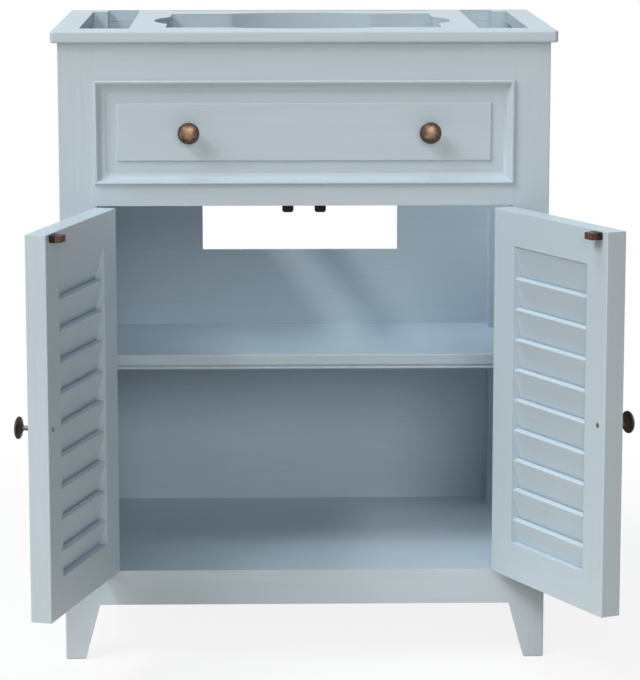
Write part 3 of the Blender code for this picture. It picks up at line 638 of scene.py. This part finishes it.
def merged(mesh, fill_levels=()):
    """Merges a mesh's doubles, fills its open outlines at the given levels, and smooths its rounds."""
    shape = bmesh.new()
    shape.from_mesh(mesh)
    bmesh.ops.remove_doubles(shape, verts=shape.verts, dist=MERGE_DISTANCE)
    for level in fill_levels:
        rim = [
            edge for edge in shape.edges
            if edge.is_boundary and all(abs(vertex.co.z - level) < MERGE_DISTANCE for vertex in edge.verts)
        ]
        bmesh.ops.triangle_fill(shape, use_beauty=True, edges=rim)
    if fill_levels:
        bmesh.ops.recalc_face_normals(shape, faces=shape.faces)
    shape.to_mesh(mesh)
    shape.free()
    mesh.shade_smooth()
    mesh.set_sharp_from_angle(angle=SMOOTH_ANGLE)
    return mesh


def joined(name, meshes):
    """One mesh of several that keep apart."""
    shape = bmesh.new()
    for mesh in meshes:
        shape.from_mesh(mesh)
        bpy.data.meshes.remove(mesh)
    mesh = bpy.data.meshes.new(name)
    shape.to_mesh(mesh)
    shape.free()
    mesh.set_sharp_from_angle(angle=SMOOTH_ANGLE)
    return mesh


def add_piece(name, mesh, material, node):
    """Adds a piece that stands for a CAD node, rides with its body and hides the node."""
    if not mesh.polygons:
        raise RuntimeError(f"{name} has no faces")
    mesh.materials.clear()
    mesh.materials.append(material)
    piece = bpy.data.objects.new(name, mesh)
    bpy.context.scene.collection.objects.link(piece)
    flat = piece.modifiers.new("Flat faces", "WEIGHTED_NORMAL")
    flat.keep_sharp = True
    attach(piece, BODY_OF[node])
    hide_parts(node)
    return piece


def add_board(node, grid, material):
    """Adds a board that stands for a CAD node."""
    name = node + "_board"
    return add_piece(name, grid_mesh(name, grid, BODY_OF[node]), material, node)


def finish_node(node, material):
    """Gives a CAD node that stays a better material."""
    for slot in frame["nodes"][node].material_slots:
        slot.material = material


def hinge_places(side):
    """The heights that each hinge takes up on a side, and the radius of the hollow for its barrel."""
    pin = REST[side + "_door"].translation
    boxes = [node_box(f"{side}_{place}_hinge_frame_leaf") for place in ("lower", "upper")]
    radius = float(pin.y - boxes[0][0][1]) + FIT_GAP
    return [(low[2] - FIT_GAP, high[2] + FIT_GAP) for low, high in boxes], radius


def hollowed_grid(side, section_at, below, above, corner, point, pin):
    """An upright's sections at the levels below and above its hinges, with the hollows for their
    barrels let into one corner between them."""
    places, radius = hinge_places(side)
    rows = [(level, section_at(level)) for level in below]
    for bottom, top in places:
        plain = section_at(bottom)
        hollow = plain.copy()
        hollow[corner] = barrel_hollow(corner, point, pin, radius)
        rows += [(bottom, plain), (bottom, hollow), (top, hollow), (top, plain)]
    rows += [(level, section_at(level)) for level in above]
    return stacked_grid(*zip(*rows))


def post_section(node, inward):
    """Gives a post's section at a level: a rounded rectangle whose two faces towards the cabinet's middle
    come out in a straight line up the foot. Inward is the way to the middle along X and Y."""
    boards = bpy.context.scene.vanity_boards
    low, high = (corner[:2] for corner in node_box(node))
    shrink = high - low - (boards.foot_width, boards.foot_depth)
    radii = np.where((CORNERS == -inward).all(axis=1), boards.eased, boards.crisp)

    def section_at(level):
        taper = shrink * max(0.0, 1.0 - level / boards.foot_height)
        drawn = max(0.0, boards.eased - level)
        inner_low = np.where(inward < 0, low + taper, low) + drawn
        inner_high = np.where(inward > 0, high - taper, high) - drawn
        return rounded_section(inner_low, inner_high, np.maximum(radii - drawn, 0.0))

    return section_at


def front_post_grid(side):
    """A post's sections up to the top board, hollowed for the hinges' barrels."""
    boards = bpy.context.scene.vanity_boards
    node = f"front_{side}_post"
    low, high = node_box(node)
    corner, point = (3, (high[0], low[1])) if side == "left" else (2, low[:2])
    section_at = post_section(node, np.array((1, 1) if side == "left" else (-1, 1)))
    pin = np.array(REST[side + "_door"].translation[:2])
    below = (0.0, boards.eased, boards.foot_height)
    return hollowed_grid(side, section_at, below, (high[2],), corner, np.array(point), pin)


def rear_post_grid(side):
    """A post's sections up to the top board, whose corner then goes on up into a side cut-out."""
    boards, top = bpy.context.scene.vanity_boards, bpy.context.scene.vanity_top
    node = f"rear_{side}_post"
    low, high = node_box(node)
    slab_low, slab_high = node_box("top_board")
    section_at = post_section(node, np.array((1, -1) if side == "left" else (-1, -1)))
    rim = top.side_rim + FIT_GAP
    ends = (slab_low[0] + rim, high[0]) if side == "left" else (low[0], slab_high[0] - rim)
    rear = slab_high[1] - top.rear_rim - FIT_GAP
    stub = rounded_section(np.array((ends[0], low[1])), np.array((ends[1], rear)), boards.crisp)
    shoulder = node_box(f"front_{side}_post")[1][2]
    rows = [(level, section_at(level)) for level in (0.0, boards.eased, boards.foot_height, shoulder)]
    return stacked_grid(*zip(*rows, (shoulder, stub), (high[2], stub)))


def notched_grid(node, front):
    """A level board carried along X, cut back round the rear posts. Front is its section's (Y, Z) points
    from its top's front edge down to its underside."""
    low, high = node_box(node)
    left, right = node_box("rear_left_post"), node_box("rear_right_post")
    notch = left[0][1] - FIT_GAP
    inner_left, inner_right = left[1][0] + FIT_GAP, right[0][0] - FIT_GAP
    across = np.array((low[0], inner_left, inner_left, inner_right, inner_right, high[0]))
    rear = np.array((notch, notch, high[1], high[1], notch, notch))
    grid = np.empty((len(across), len(front) + 2, 3))
    grid[..., 0] = across[:, None]
    grid[:, 2:, 1:] = front
    grid[:, :2, 1] = rear[:, None]
    grid[:, :2, 2] = (front[-1][1], high[2])
    return grid


def hinge_stile_grid(side):
    """A rounded rectangle carried up the door, with its top and bottom edges eased and a hollow for each
    hinge's barrel."""
    boards = bpy.context.scene.vanity_boards
    low, high = node_box(f"{side}_door_hinge_stile")
    corner = 2 if side == "left" else 3
    point = np.array((low[0] if side == "left" else high[0], low[1]))
    ease = boards.eased / 2

    def section_at(level):
        drawn = max(0.0, low[2] + ease - level, level - high[2] + ease)
        radius = max(0.0, boards.crisp - drawn)
        return rounded_section(low[:2] + drawn, high[:2] - drawn, radius)

    below, above = (low[2], low[2] + ease), (high[2] - ease, high[2])
    return hollowed_grid(side, section_at, below, above, corner, point, np.zeros(2))


def grown(box, axes):
    """A box made longer at both ends along these axes, to meet the boards that it is glued between."""
    low, high = box
    reach = np.array([FIT_GAP if axis in axes else 0.0 for axis in "XYZ"])
    return low - reach, high + reach


def arc(centre, radius, start, stop, steps=QUARTER_STEPS):
    """Points on an arc in a profile, between two angles in degrees."""
    turn = np.radians(np.linspace(start, stop, steps + 1))
    return np.stack((centre[0] + radius * np.cos(turn), centre[1] + radius * np.sin(turn)), axis=1)


class VANITY_OT_top_board(bpy.types.Operator):
    """Adds the top board with its bowl, side and slot cut-outs"""

    bl_idname = "vanity.top_board"
    bl_label = "Top board"

    def execute(self, context):
        top = context.scene.vanity_top
        low, high = node_box("top_board")
        underside = node_box("front_top_rail")[1][2] + FIT_GAP
        middle = (low[0] + high[0]) / 2
        turn = np.linspace(0.0, np.pi / 2, 2 * QUARTER_STEPS + 1)
        inset = top.edge_round * (1.0 - np.sin(turn))
        rise = top.edge_round * (1.0 - np.cos(turn))
        insets = np.concatenate((inset, inset[::-1]))
        levels = np.concatenate((underside + rise, high[2] - rise[::-1]))
        outlines = [
            rounded_section(low[:2] + i, high[:2] - i, 2 * top.edge_round - i) for i in insets
        ]
        walls = [grid_mesh("rim", stacked_grid(levels, outlines), "cabinet", caps=False)]

        side_inner = top.bowl_width / 2 + top.cross_member
        side_outer = (high[0] - low[0]) / 2 - top.side_rim
        slot_rear = high[1] - top.slot_rear_rim
        front, rear = low[1] + top.front_rim, high[1] - top.rear_rim
        slot_front, half_slot = slot_rear - top.slot_width, top.bowl_width / 2
        rectangles = [
            ((middle - side_outer, front), (middle - side_inner, rear)),
            ((middle + side_inner, front), (middle + side_outer, rear)),
            ((middle - half_slot, slot_front), (middle + half_slot, slot_rear)),
        ]
        centre = np.array((middle, low[1] + top.bowl_front_rim + top.bowl_depth / 2))
        reach = np.array((top.oval_width, top.oval_depth)) / 2 + top.stiffener_rim
        cuts = [(self.rectangle(top, *corners), high[2], underside) for corners in rectangles]
        cuts.append((self.bowl_outline(top, centre), high[2], low[2]))
        cuts.append((self.rectangle(top, centre - reach, centre + reach), underside, low[2]))
        for outline, over, under in cuts:
            wall = np.empty((2, len(outline), 3))
            wall[..., :2] = outline
            wall[..., 2] = np.array((over, under))[:, None]
            walls.append(grid_mesh("cut", wall, "cabinet", caps=False))
        mesh = merged(joined("top_board_slab", walls), (low[2], underside, high[2]))
        add_piece("top_board_slab", mesh, paint("level"), "top_board")
        return {"FINISHED"}

    @staticmethod
    def rectangle(top, low, high):
        """The outline of a cut with barely rounded corners."""
        return rounded_section(np.array(low), np.array(high), top.cut_round).reshape(-1, 2)

    @staticmethod
    def bowl_outline(top, centre):
        """The outline of a rectangle and an oval laid over each other, as distances from their shared
        centre: at angle t the rectangle's is the least of half width / |cos t| and half depth / |sin t|,
        the oval's is the polar form of an ellipse, and the outline's is the greater of the two."""
        corner = math.atan2(top.bowl_depth, top.bowl_width)
        corners = np.array((corner, np.pi - corner, np.pi + corner, 2 * np.pi - corner))
        even = np.linspace(0.0, 2 * np.pi, OVAL_STEPS, endpoint=False)
        turn = np.unique(np.concatenate((even, corners)))
        cosine, sine = np.abs(np.cos(turn)), np.abs(np.sin(turn))
        square = np.minimum(
            top.bowl_width / 2 / np.maximum(cosine, LEAST), top.bowl_depth / 2 / np.maximum(sine, LEAST)
        )
        oval = 1.0 / np.hypot(cosine / (top.oval_width / 2), sine / (top.oval_depth / 2))
        reach = np.maximum(square, oval)
        return centre + reach[:, None] * np.stack((np.cos(turn), np.sin(turn)), axis=1)


class VANITY_OT_posts(bpy.types.Operator):
    """Adds the four posts with their tapered feet"""

    bl_idname = "vanity.posts"
    bl_label = "Posts"

    def execute(self, context):
        for side in SIDES:
            add_board(f"front_{side}_post", front_post_grid(side), paint("upright"))
            add_board(f"rear_{side}_post", rear_post_grid(side), paint("upright"))
        return {"FINISHED"}


class VANITY_OT_front_rails(bpy.types.Operator):
    """Adds the three rails between the front posts"""

    bl_idname = "vanity.front_rails"
    bl_label = "Front rails"

    def execute(self, context):
        crisp = context.scene.vanity_boards.crisp
        for node in ("front_top_rail", "drawer_rail", "front_bottom_rail"):
            add_board(node, board_grid(grown(node_box(node), "X"), "X", crisp), paint("level"))
        return {"FINISHED"}


class VANITY_OT_panels(bpy.types.Operator):
    """Adds the back and the floor, and paints the sides and the shelf cleats"""

    bl_idname = "vanity.panels"
    bl_label = "Panels"

    def execute(self, context):
        for side in SIDES:
            finish_node(f"{side}_side_panel", paint("upright"))
            finish_node(f"{side}_shelf_cleat", paint("deep"))
        name = "back_panel_board"
        mesh = grid_mesh(name, self.back_grid(context.scene.vanity_boards), "cabinet", wrap=True)
        add_piece(name, mesh, paint("level"), "back_panel")
        low, high = node_box("bottom_panel")
        front = [(low[1], high[2]), (low[1], low[2])]
        add_board("bottom_panel", notched_grid("bottom_panel", front), paint("level"))
        return {"FINISHED"}

    @staticmethod
    def back_grid(boards):
        """A flat hoop: the panel's outline at its back and then its front, and the cut-out's at its front
        and then its back."""
        low, high = grown(node_box("back_panel"), "X")
        middle, half = (low[0] + high[0]) / 2, boards.plumbing_width / 2
        sill = boards.plumbing_sill
        outline = low[0], high[0], low[2], high[2]
        cut = middle - half, middle + half, sill, sill + boards.plumbing_height
        sides = np.array((outline, outline, cut, cut)).T
        return ring_grid(*sides, np.array((high[1], low[1], low[1], high[1])))


class VANITY_OT_shelf(bpy.types.Operator):
    """Adds the shelf with its beaded nosing"""

    bl_idname = "vanity.shelf"
    bl_label = "Shelf"

    def execute(self, context):
        low, high = node_box("shelf")
        front = self.nosing(context.scene.vanity_boards, low[1], high[2])
        add_board("shelf", notched_grid("shelf", front), paint("level"))
        return {"FINISHED"}

    @staticmethod
    def nosing(boards, front, top):
        """From the top's front edge down: a quarter round, the flat band, a small quarter round, a
        square groove, a half-round bead and the nosing's back up to the shelf's underside."""
        band = top - boards.nosing_band
        groove = band - boards.nosing_groove
        bead = boards.nosing_bead / 2
        sunk = front + boards.nosing_sink
        back = front + boards.nosing_depth
        soft, arris = boards.nosing_round, boards.nosing_arris
        return np.concatenate((
            arc((front + soft, top - soft), soft, 90, 180),
            arc((front + arris, band + arris), arris, 180, 270),
            [(sunk, band), (sunk, groove)],
            arc((front + bead, groove - bead), bead, 90, 270, 2 * QUARTER_STEPS),
            [(back, groove - 2 * bead), (back, top - boards.shelf_thickness)],
        ))


class VANITY_OT_drawer_front(bpy.types.Operator):
    """Adds the fixed drawer front with its raised field and mitred moulding"""

    bl_idname = "vanity.drawer_front"
    bl_label = "Drawer front"

    def execute(self, context):
        drawer = context.scene.vanity_drawer
        low, high = node_box("drawer_front_panel")
        field = low[1] + drawer.raised
        inset, soft = drawer.raised_inset, drawer.raised_round
        profile = np.concatenate((
            [(0.0, high[1]), (0.0, field), (inset, field)],
            arc((inset + soft, low[1] + soft), soft, 180, 270),
        ))
        add_board("drawer_front_panel", frame_grid(low, high, profile), paint("level"))

        node = "drawer_front_moulding"
        low, high = grown(node_box(node), "XZ")
        name = node + "_strip"
        grid = frame_grid(low, high, self.moulding(drawer, low[1], high[1]))
        add_piece(name, grid_mesh(name, grid, "cabinet", wrap=True), paint("level"), node)
        return {"FINISHED"}

    @staticmethod
    def moulding(drawer, crest, back):
        """From the outside in: a half-round bead, a step, and a cove on a circle that runs out level at the
        inner edge. A cove w wide and d deep has the radius (w * w + d * d) / 2d."""
        bead, quirk, width = drawer.moulding_bead, drawer.moulding_quirk, drawer.moulding_width
        start, stop = crest + (bead + quirk) / 2, back - drawer.moulding_edge
        wide, deep = width - bead - quirk, stop - start
        radius = (wide**2 + deep**2) / (2 * deep)
        steepest = math.degrees(math.atan2(wide, radius - deep))
        return np.concatenate((
            [(0.0, back)],
            arc((bead / 2, crest + bead / 2), bead / 2, 180, 360, 2 * QUARTER_STEPS),
            arc((width, stop - radius), radius, 90 + steepest, 90, 3 * QUARTER_STEPS),
            [(width, back)],
        ))


class VANITY_OT_door_frames(bpy.types.Operator):
    """Adds the stiles and rails of both doors"""

    bl_idname = "vanity.door_frames"
    bl_label = "Door frames"

    def execute(self, context):
        boards = context.scene.vanity_boards
        eased, crisp = boards.eased, boards.crisp
        outer = eased / 2
        rails = {
            "_top_rail": (outer, outer, crisp, crisp),
            "_bottom_rail": (crisp, crisp, outer, outer),
        }
        for side in SIDES:
            door = side + "_door"
            add_board(door + "_hinge_stile", hinge_stile_grid(side), paint("upright"))
            free = (eased, crisp, crisp, eased) if side == "left" else (crisp, eased, eased, crisp)
            box = node_box(door + "_free_stile")
            add_board(door + "_free_stile", board_grid(box, "Z", free, outer), paint("upright"))
            for place, radii in rails.items():
                box = grown(node_box(door + place), "X")
                add_board(door + place, board_grid(box, "X", radii), paint(door))
        return {"FINISHED"}


class VANITY_OT_louvres(bpy.types.Operator):
    """Adds the slats of both doors"""

    bl_idname = "vanity.louvres"
    bl_label = "Louvres"

    def execute(self, context):
        louvres, crisp = context.scene.vanity_louvres, context.scene.vanity_boards.crisp
        for side in SIDES:
            door = side + "_door"
            nodes = sorted(node for node in BODY_OF if node.startswith(door + "_slat_"))
            tallest = max(float(np.ptp(node_box(node), axis=0)[2]) for node in nodes)
            for node in nodes:
                box = grown(node_box(node), "X")
                width = louvres.width - (tallest - (box[1][2] - box[0][2])) / math.cos(louvres.lean)
                first, last = node == nodes[0], node == nodes[-1]
                radii = np.where((first, False, False, last), crisp, louvres.edge_round)
                lift = louvres.thickness * math.tan(louvres.lean) if first else 0.0
                add_board(node, self.slat(louvres, box, width, radii, lift), paint(door))
        return {"FINISHED"}

    @staticmethod
    def slat(louvres, box, width, radii, lift):
        """A rounded section carried along X: a point n across the slat and w up it lies at the slat's
        middle plus n times (cos t, -sin t) plus w times (sin t, cos t), where t is the lean. Lift raises
        the top's inner edge, which closes the first slat up to the rail."""
        low, high = box
        half = np.array((louvres.thickness, width)) / 2
        section = rounded_section(-half, half, radii)
        section[0, :, 1] += lift
        section = section.reshape(-1, 2)
        middle = (low + high) / 2
        cosine, sine = math.cos(louvres.lean), math.sin(louvres.lean)
        grid = np.empty((2, len(section), 3))
        grid[..., 0] = np.array((low[0], high[0]))[:, None]
        grid[..., 1] = middle[1] + section[:, 0] * cosine + section[:, 1] * sine
        grid[..., 2] = middle[2] - section[:, 0] * sine + section[:, 1] * cosine
        return grid


# Rings of a screw's head from its seat's middle out and then up over the dome, in shares of its radius
SCREW_RINGS = np.array((0.0, 1.0, 1.0, 0.93, 0.75, 0.62, 0.55, 0.45, 0.35, 0.25, 0.15, 0.08, 0.0))
SEAT_RINGS = 2
DOME_STEPS, BACK_STEPS = 10, 8

# Powers that curve a knob's hollow back, in towards the stem and down
BACK_INWARD, BACK_DOWN = 0.8, 1.5


class VANITY_OT_knobs(bpy.types.Operator):
    """Adds the four turned knobs, with the screw heads that show inside the doors"""

    bl_idname = "vanity.knobs"
    bl_label = "Knobs"

    def execute(self, context):
        knob = context.scene.vanity_knobs
        drawer_low, drawer_high = node_box("drawer_front_panel")
        for side in SIDES:
            self.add_knob(knob, f"drawer_{side}_knob", drawer_low[1])
            self.add_knob(knob, f"{side}_door_knob", 0.0)
            self.add_screw(knob, f"{side}_door_knob", node_box(f"{side}_door_free_stile")[1][1])
            self.add_screw(knob, f"drawer_{side}_knob", drawer_high[1])
        return {"FINISHED"}

    @staticmethod
    def add_knob(knob, node, face):
        """From the crown's middle out: a low dome that falls with the square of the radius, a fine quirk,
        a round rim, a hollow cone behind it, the stem, and a flare down to the foot on the face."""
        low, high = node_box(node)
        wide, reach = (high[0] - low[0]) / 2, face - low[1]
        stem, rim, foot = knob.stem * wide, knob.rim * wide, knob.foot * wide
        back, neck = wide - rim / 2, knob.neck * stem
        groove = reach - knob.quirk
        out = np.linspace(0.0, 1.0, DOME_STEPS + 1)
        behind = np.linspace(0.0, 1.0, BACK_STEPS + 1)
        profile = np.concatenate((
            np.stack((knob.crown * wide * out, reach - knob.dome * out**2), axis=1),
            [(knob.quirk_inside * wide, groove), (knob.quirk_outside * wide, groove)],
            arc((wide - rim, reach - knob.rim_depth), rim, 100, -60, 2 * QUARTER_STEPS),
            np.stack((
                back + (neck - back) * behind**BACK_INWARD,
                reach - knob.back_depth - knob.hollow * behind**BACK_DOWN,
            ), axis=1),
            [(stem, knob.stem_top * reach), (stem, knob.flare_height)],
            arc((stem + knob.flare, knob.flare_height), knob.flare, 180, 250, QUARTER_STEPS + 1),
            [(foot, knob.foot_height), (foot, 0.0), (0.0, 0.0)],
        ))
        name = node + "_turning"
        grid = turned_grid((low + high) / 2, face, profile, -1)
        mesh = grid_mesh(name, grid, BODY_OF[node], caps=False, turned=True)
        add_piece(name, mesh, aged_bronze(), node)

    @staticmethod
    def add_screw(knob, node, face):
        """A dome whose height falls with the square of the radius, less a cross cut into it wherever
        the point lies close to either of two axes."""
        low, high = node_box(node)
        middle = (low + high) / 2
        height = knob.screw_edge + knob.screw_dome * (1.0 - SCREW_RINGS**2)
        height[:SEAT_RINGS] = 0.0
        grid = turned_grid(middle, face, np.stack((SCREW_RINGS * knob.screw, height), axis=1), 1)
        across = np.abs(grid[..., 0] - middle[0])
        upward = np.abs(grid[..., 2] - middle[2])
        outer = knob.cross_reach * knob.screw - np.hypot(across, upward)
        near = np.clip((knob.cross - np.minimum(across, upward)) / knob.cross_wall, 0.0, 1.0)
        within = np.clip(outer / knob.cross_end, 0.0, 1.0)
        grid[SEAT_RINGS:, :, 1] -= knob.cross_depth * (near * within)[SEAT_RINGS:]
        name = node + "_screw"
        mesh = grid_mesh(name, grid, BODY_OF[node], caps=False)
        add_piece(name, mesh, screw_metal(), node)


class VANITY_OT_catches(bpy.types.Operator):
    """Adds the double catch under the drawer rail and the strike on each door"""

    bl_idname = "vanity.catches"
    bl_label = "Catches"

    def execute(self, context):
        catches = context.scene.vanity_catches
        low, high = node_box("double_catch")
        width, corner = catches.block_width, catches.block_round
        radii = 0.0, corner, corner, 0.0
        parts = [((low[0], low[1], high[2] - catches.plate), high, catches.plate_round)]
        for left in (low[0], high[0] - width):
            parts.append(((left, low[1], low[2]), (left + width, high[1], high[2]), radii))
        self.add_blocks(catches, "double_catch", "_blocks", parts, "plastic")
        soft = catches.strike_round
        inset = np.array((catches.strike_inset, 0.0, catches.strike_inset))
        for side in SIDES:
            node = f"{side}_door_strike"
            low, high = node_box(node)
            step = low[1] + catches.strike_step * (high[1] - low[1])
            base = low, (high[0], step, high[2]), soft
            block = np.array((low[0], step, low[2])) + inset, high - inset, soft
            self.add_blocks(catches, node, "_base", [base], "plastic")
            self.add_blocks(catches, node, "_block", [block], "strike")
        return {"FINISHED"}

    @staticmethod
    def add_blocks(catches, node, ending, parts, kind):
        """Adds one piece of rounded blocks that lie along Y, from their low and high corners and radii."""
        name, blocks = node + ending, []
        for low, high, radii in parts:
            grid = board_grid((np.array(low), np.array(high)), "Y", radii, catches.end_round)
            blocks.append(grid_mesh("block", grid, BODY_OF[node]))
        add_piece(name, joined(name, blocks), moulded_plastic(kind), node)


class VANITY_OT_hinges(bpy.types.Operator):
    """Plates the hinge leaves"""

    bl_idname = "vanity.hinges"
    bl_label = "Hinges"

    def execute(self, context):
        for node, slot in SLOT_OF.items():
            if slot == "hinge_steel":
                finish_node(node, hinge_steel())
        return {"FINISHED"}


SENSOR_WIDTH = 36.0

# What the lamps face, and each lamp's direction from it, distance, size and tint
LAMP_TARGET = np.array((-0.02, 0.1, 0.45))
LAMPS = {
    "beam": ((-0.735, -0.65, 1.0), 28.0, (1.6, 16.0), (1.0, 0.95, 0.93)),
    "side": ((-0.72, -0.38, 0.57), 40.0, (12.0, 12.0), (0.95, 1.0, 0.97)),
    "overhead": ((-0.20, -0.10, 0.97), 24.0, (12.0, 12.0), (0.84, 0.96, 1.0)),
    "high": ((0.10, -0.92, 0.34), 12.0, (4.0, 4.0), (1.0, 0.98, 0.95)),
    "rear": ((0.0, 0.99, 0.10), 8.0, (2.0, 2.0), (1.0, 1.0, 1.0)),
}


class VANITY_OT_studio(bpy.types.Operator):
    """Adds the camera, the lamps, the pale floor and the white surroundings"""

    bl_idname = "vanity.studio"
    bl_label = "Studio"

    def execute(self, context):
        studio = context.scene.vanity_studio
        context.scene.view_settings.view_transform = "Standard"
        self.add_camera(context, studio)
        for name, lamp in LAMPS.items():
            self.add_lamp(context, name + "_lamp", getattr(studio, name), *lamp)
        self.add_surroundings(context, studio)
        self.add_floor(context, studio)
        return {"FINISHED"}

    @staticmethod
    def add_camera(context, studio):
        camera = bpy.data.cameras.new("camera")
        camera.lens = studio.lens
        camera.sensor_width = SENSOR_WIDTH
        holder = bpy.data.objects.new("camera", camera)
        holder.location = studio.eye
        holder.rotation_euler = (math.pi / 2 - studio.tilt, 0.0, -studio.yaw)
        context.scene.collection.objects.link(holder)
        context.scene.camera = holder

    @staticmethod
    def add_lamp(context, name, level, direction, distance, size, tint):
        """An oblong lamp that faces the cabinet, with its length as near to Y as that allows. Its power is
        pi squared times the squared distance times the level, at which a white board that faces it shows
        that level. A lamp behind the cabinet makes no gloss."""
        lamp = bpy.data.lights.new(name, "AREA")
        lamp.shape = "RECTANGLE"
        lamp.size, lamp.size_y = size
        lamp.energy = math.pi**2 * distance**2 * level
        lamp.color = tint
        holder = bpy.data.objects.new(name, lamp)
        away = np.asarray(direction) / np.linalg.norm(direction)
        along = np.array((0.0, 1.0, 0.0)) - away[1] * away
        along /= np.linalg.norm(along)
        turn = Matrix(np.stack((np.cross(along, away), along, away), axis=1).tolist())
        place = (LAMP_TARGET + distance * away).tolist()
        holder.matrix_world = Matrix.Translation(place) @ turn.to_4x4()
        holder.visible_glossy = bool(away[1] < 0.0)
        context.scene.collection.objects.link(holder)

    @staticmethod
    def seen(shade):
        """One for a ray from the camera, or by way of a gloss or glass, and nought for others."""
        kinds = "Camera", "Glossy", "Transmission"
        rays = [shade.node("ShaderNodeLightPath", output=f"Is {kind} Ray") for kind in kinds]
        return shade.maths("MAXIMUM", shade.maths("MAXIMUM", rays[0], rays[1]), rays[2])

    def add_surroundings(self, context, studio):
        world = bpy.data.worlds.new("surroundings")
        world.use_nodes = True
        world.node_tree.nodes.clear()
        shade = Shade(world.node_tree)
        ambient = shade.node(
            "ShaderNodeBackground", inputs={"Color": (*studio.sky, 1.0), "Strength": studio.ambient}
        )
        white = shade.node("ShaderNodeBackground", inputs={"Color": WHITE, "Strength": 1.0})
        both = shade.node("ShaderNodeMixShader", inputs={0: self.seen(shade), 1: ambient, 2: white})
        output = world.node_tree.nodes.new("ShaderNodeOutputWorld")
        world.node_tree.links.new(both.socket, output.inputs["Surface"])
        context.scene.world = world

    def add_floor(self, context, studio):
        """A flat sheet. It shows white to the camera, and keeps a share of the shadow near the cabinet."""
        reach = studio.floor_reach
        mesh = bpy.data.meshes.new("floor")
        mesh.from_pydata(
            [(-reach, -reach, 0.0), (reach, -reach, 0.0), (reach, reach, 0.0), (-reach, reach, 0.0)],
            [], [(0, 1, 2, 3)],
        )
        material, shade = new_material("floor_white")
        place = shade.node("ShaderNodeTexCoord", output="Object")
        distance = shade.node(
            "ShaderNodeVectorMath", output="Value", settings={"operation": "LENGTH"}, inputs={0: place}
        )
        near = shade.node(
            "ShaderNodeMapRange",
            settings={"interpolation_type": "SMOOTHSTEP"},
            inputs={
                "Value": distance, "From Min": studio.shadow_near, "From Max": studio.shadow_far,
                "To Min": 1.0, "To Max": 0.0,
            },
        )
        seen = self.seen(shade)
        lit = seen * (1.0 - near * studio.shadow)
        tint = seen.mix((*studio.floor, 1.0), (*studio.floor_seen, 1.0))
        matt = shade.node("ShaderNodeBsdfDiffuse", inputs={"Color": tint})
        white = shade.node("ShaderNodeEmission", inputs={"Color": WHITE, "Strength": 1.0})
        both = shade.node("ShaderNodeMixShader", inputs={0: lit, 1: matt, 2: white})
        output = material.node_tree.nodes.new("ShaderNodeOutputMaterial")
        material.node_tree.links.new(both.socket, output.inputs["Surface"])
        mesh.materials.append(material)
        floor = bpy.data.objects.new("floor", mesh)
        context.scene.collection.objects.link(floor)


GROUPS = {
    "vanity_paint": VanityPaint,
    "vanity_top": VanityTop,
    "vanity_boards": VanityBoards,
    "vanity_drawer": VanityDrawer,
    "vanity_louvres": VanityLouvres,
    "vanity_knobs": VanityKnobs,
    "vanity_catches": VanityCatches,
    "vanity_metal": VanityMetal,
    "vanity_studio": VanityStudio,
}

OPERATORS = (
    VANITY_OT_top_board,
    VANITY_OT_posts,
    VANITY_OT_front_rails,
    VANITY_OT_panels,
    VANITY_OT_shelf,
    VANITY_OT_drawer_front,
    VANITY_OT_door_frames,
    VANITY_OT_louvres,
    VANITY_OT_knobs,
    VANITY_OT_catches,
    VANITY_OT_hinges,
    VANITY_OT_studio,
)


class VANITY_PT_panel(bpy.types.Panel):
    """Lists the cabinet's settings and pieces"""

    bl_idname = "VANITY_PT_panel"
    bl_label = "Vanity cabinet"
    bl_space_type = "VIEW_3D"
    bl_region_type = "UI"
    bl_category = "Vanity"

    def draw(self, context):
        for operator in OPERATORS:
            self.layout.operator(operator.bl_idname)
        for name, group in GROUPS.items():
            box = self.layout.box()
            box.label(text=group.__doc__)
            for setting in group.__annotations__:
                box.prop(getattr(context.scene, name), setting)


def register():
    for name, group in GROUPS.items():
        bpy.utils.register_class(group)
        setattr(bpy.types.Scene, name, PointerProperty(type=group))
    for kind in (*OPERATORS, VANITY_PT_panel):
        bpy.utils.register_class(kind)


def unregister():
    for kind in (VANITY_PT_panel, *reversed(OPERATORS)):
        bpy.utils.unregister_class(kind)
    for name, group in reversed(GROUPS.items()):
        delattr(bpy.types.Scene, name)
        bpy.utils.unregister_class(group)


def main():
    """Makes every piece and the studio."""
    register()
    bpy.ops.vanity.top_board()
    bpy.ops.vanity.posts()
    bpy.ops.vanity.front_rails()
    bpy.ops.vanity.panels()
    bpy.ops.vanity.shelf()
    bpy.ops.vanity.drawer_front()
    bpy.ops.vanity.door_frames()
    bpy.ops.vanity.louvres()
    bpy.ops.vanity.knobs()
    bpy.ops.vanity.catches()
    bpy.ops.vanity.hinges()
    bpy.ops.vanity.studio()


if __name__ == "__main__":
    main()
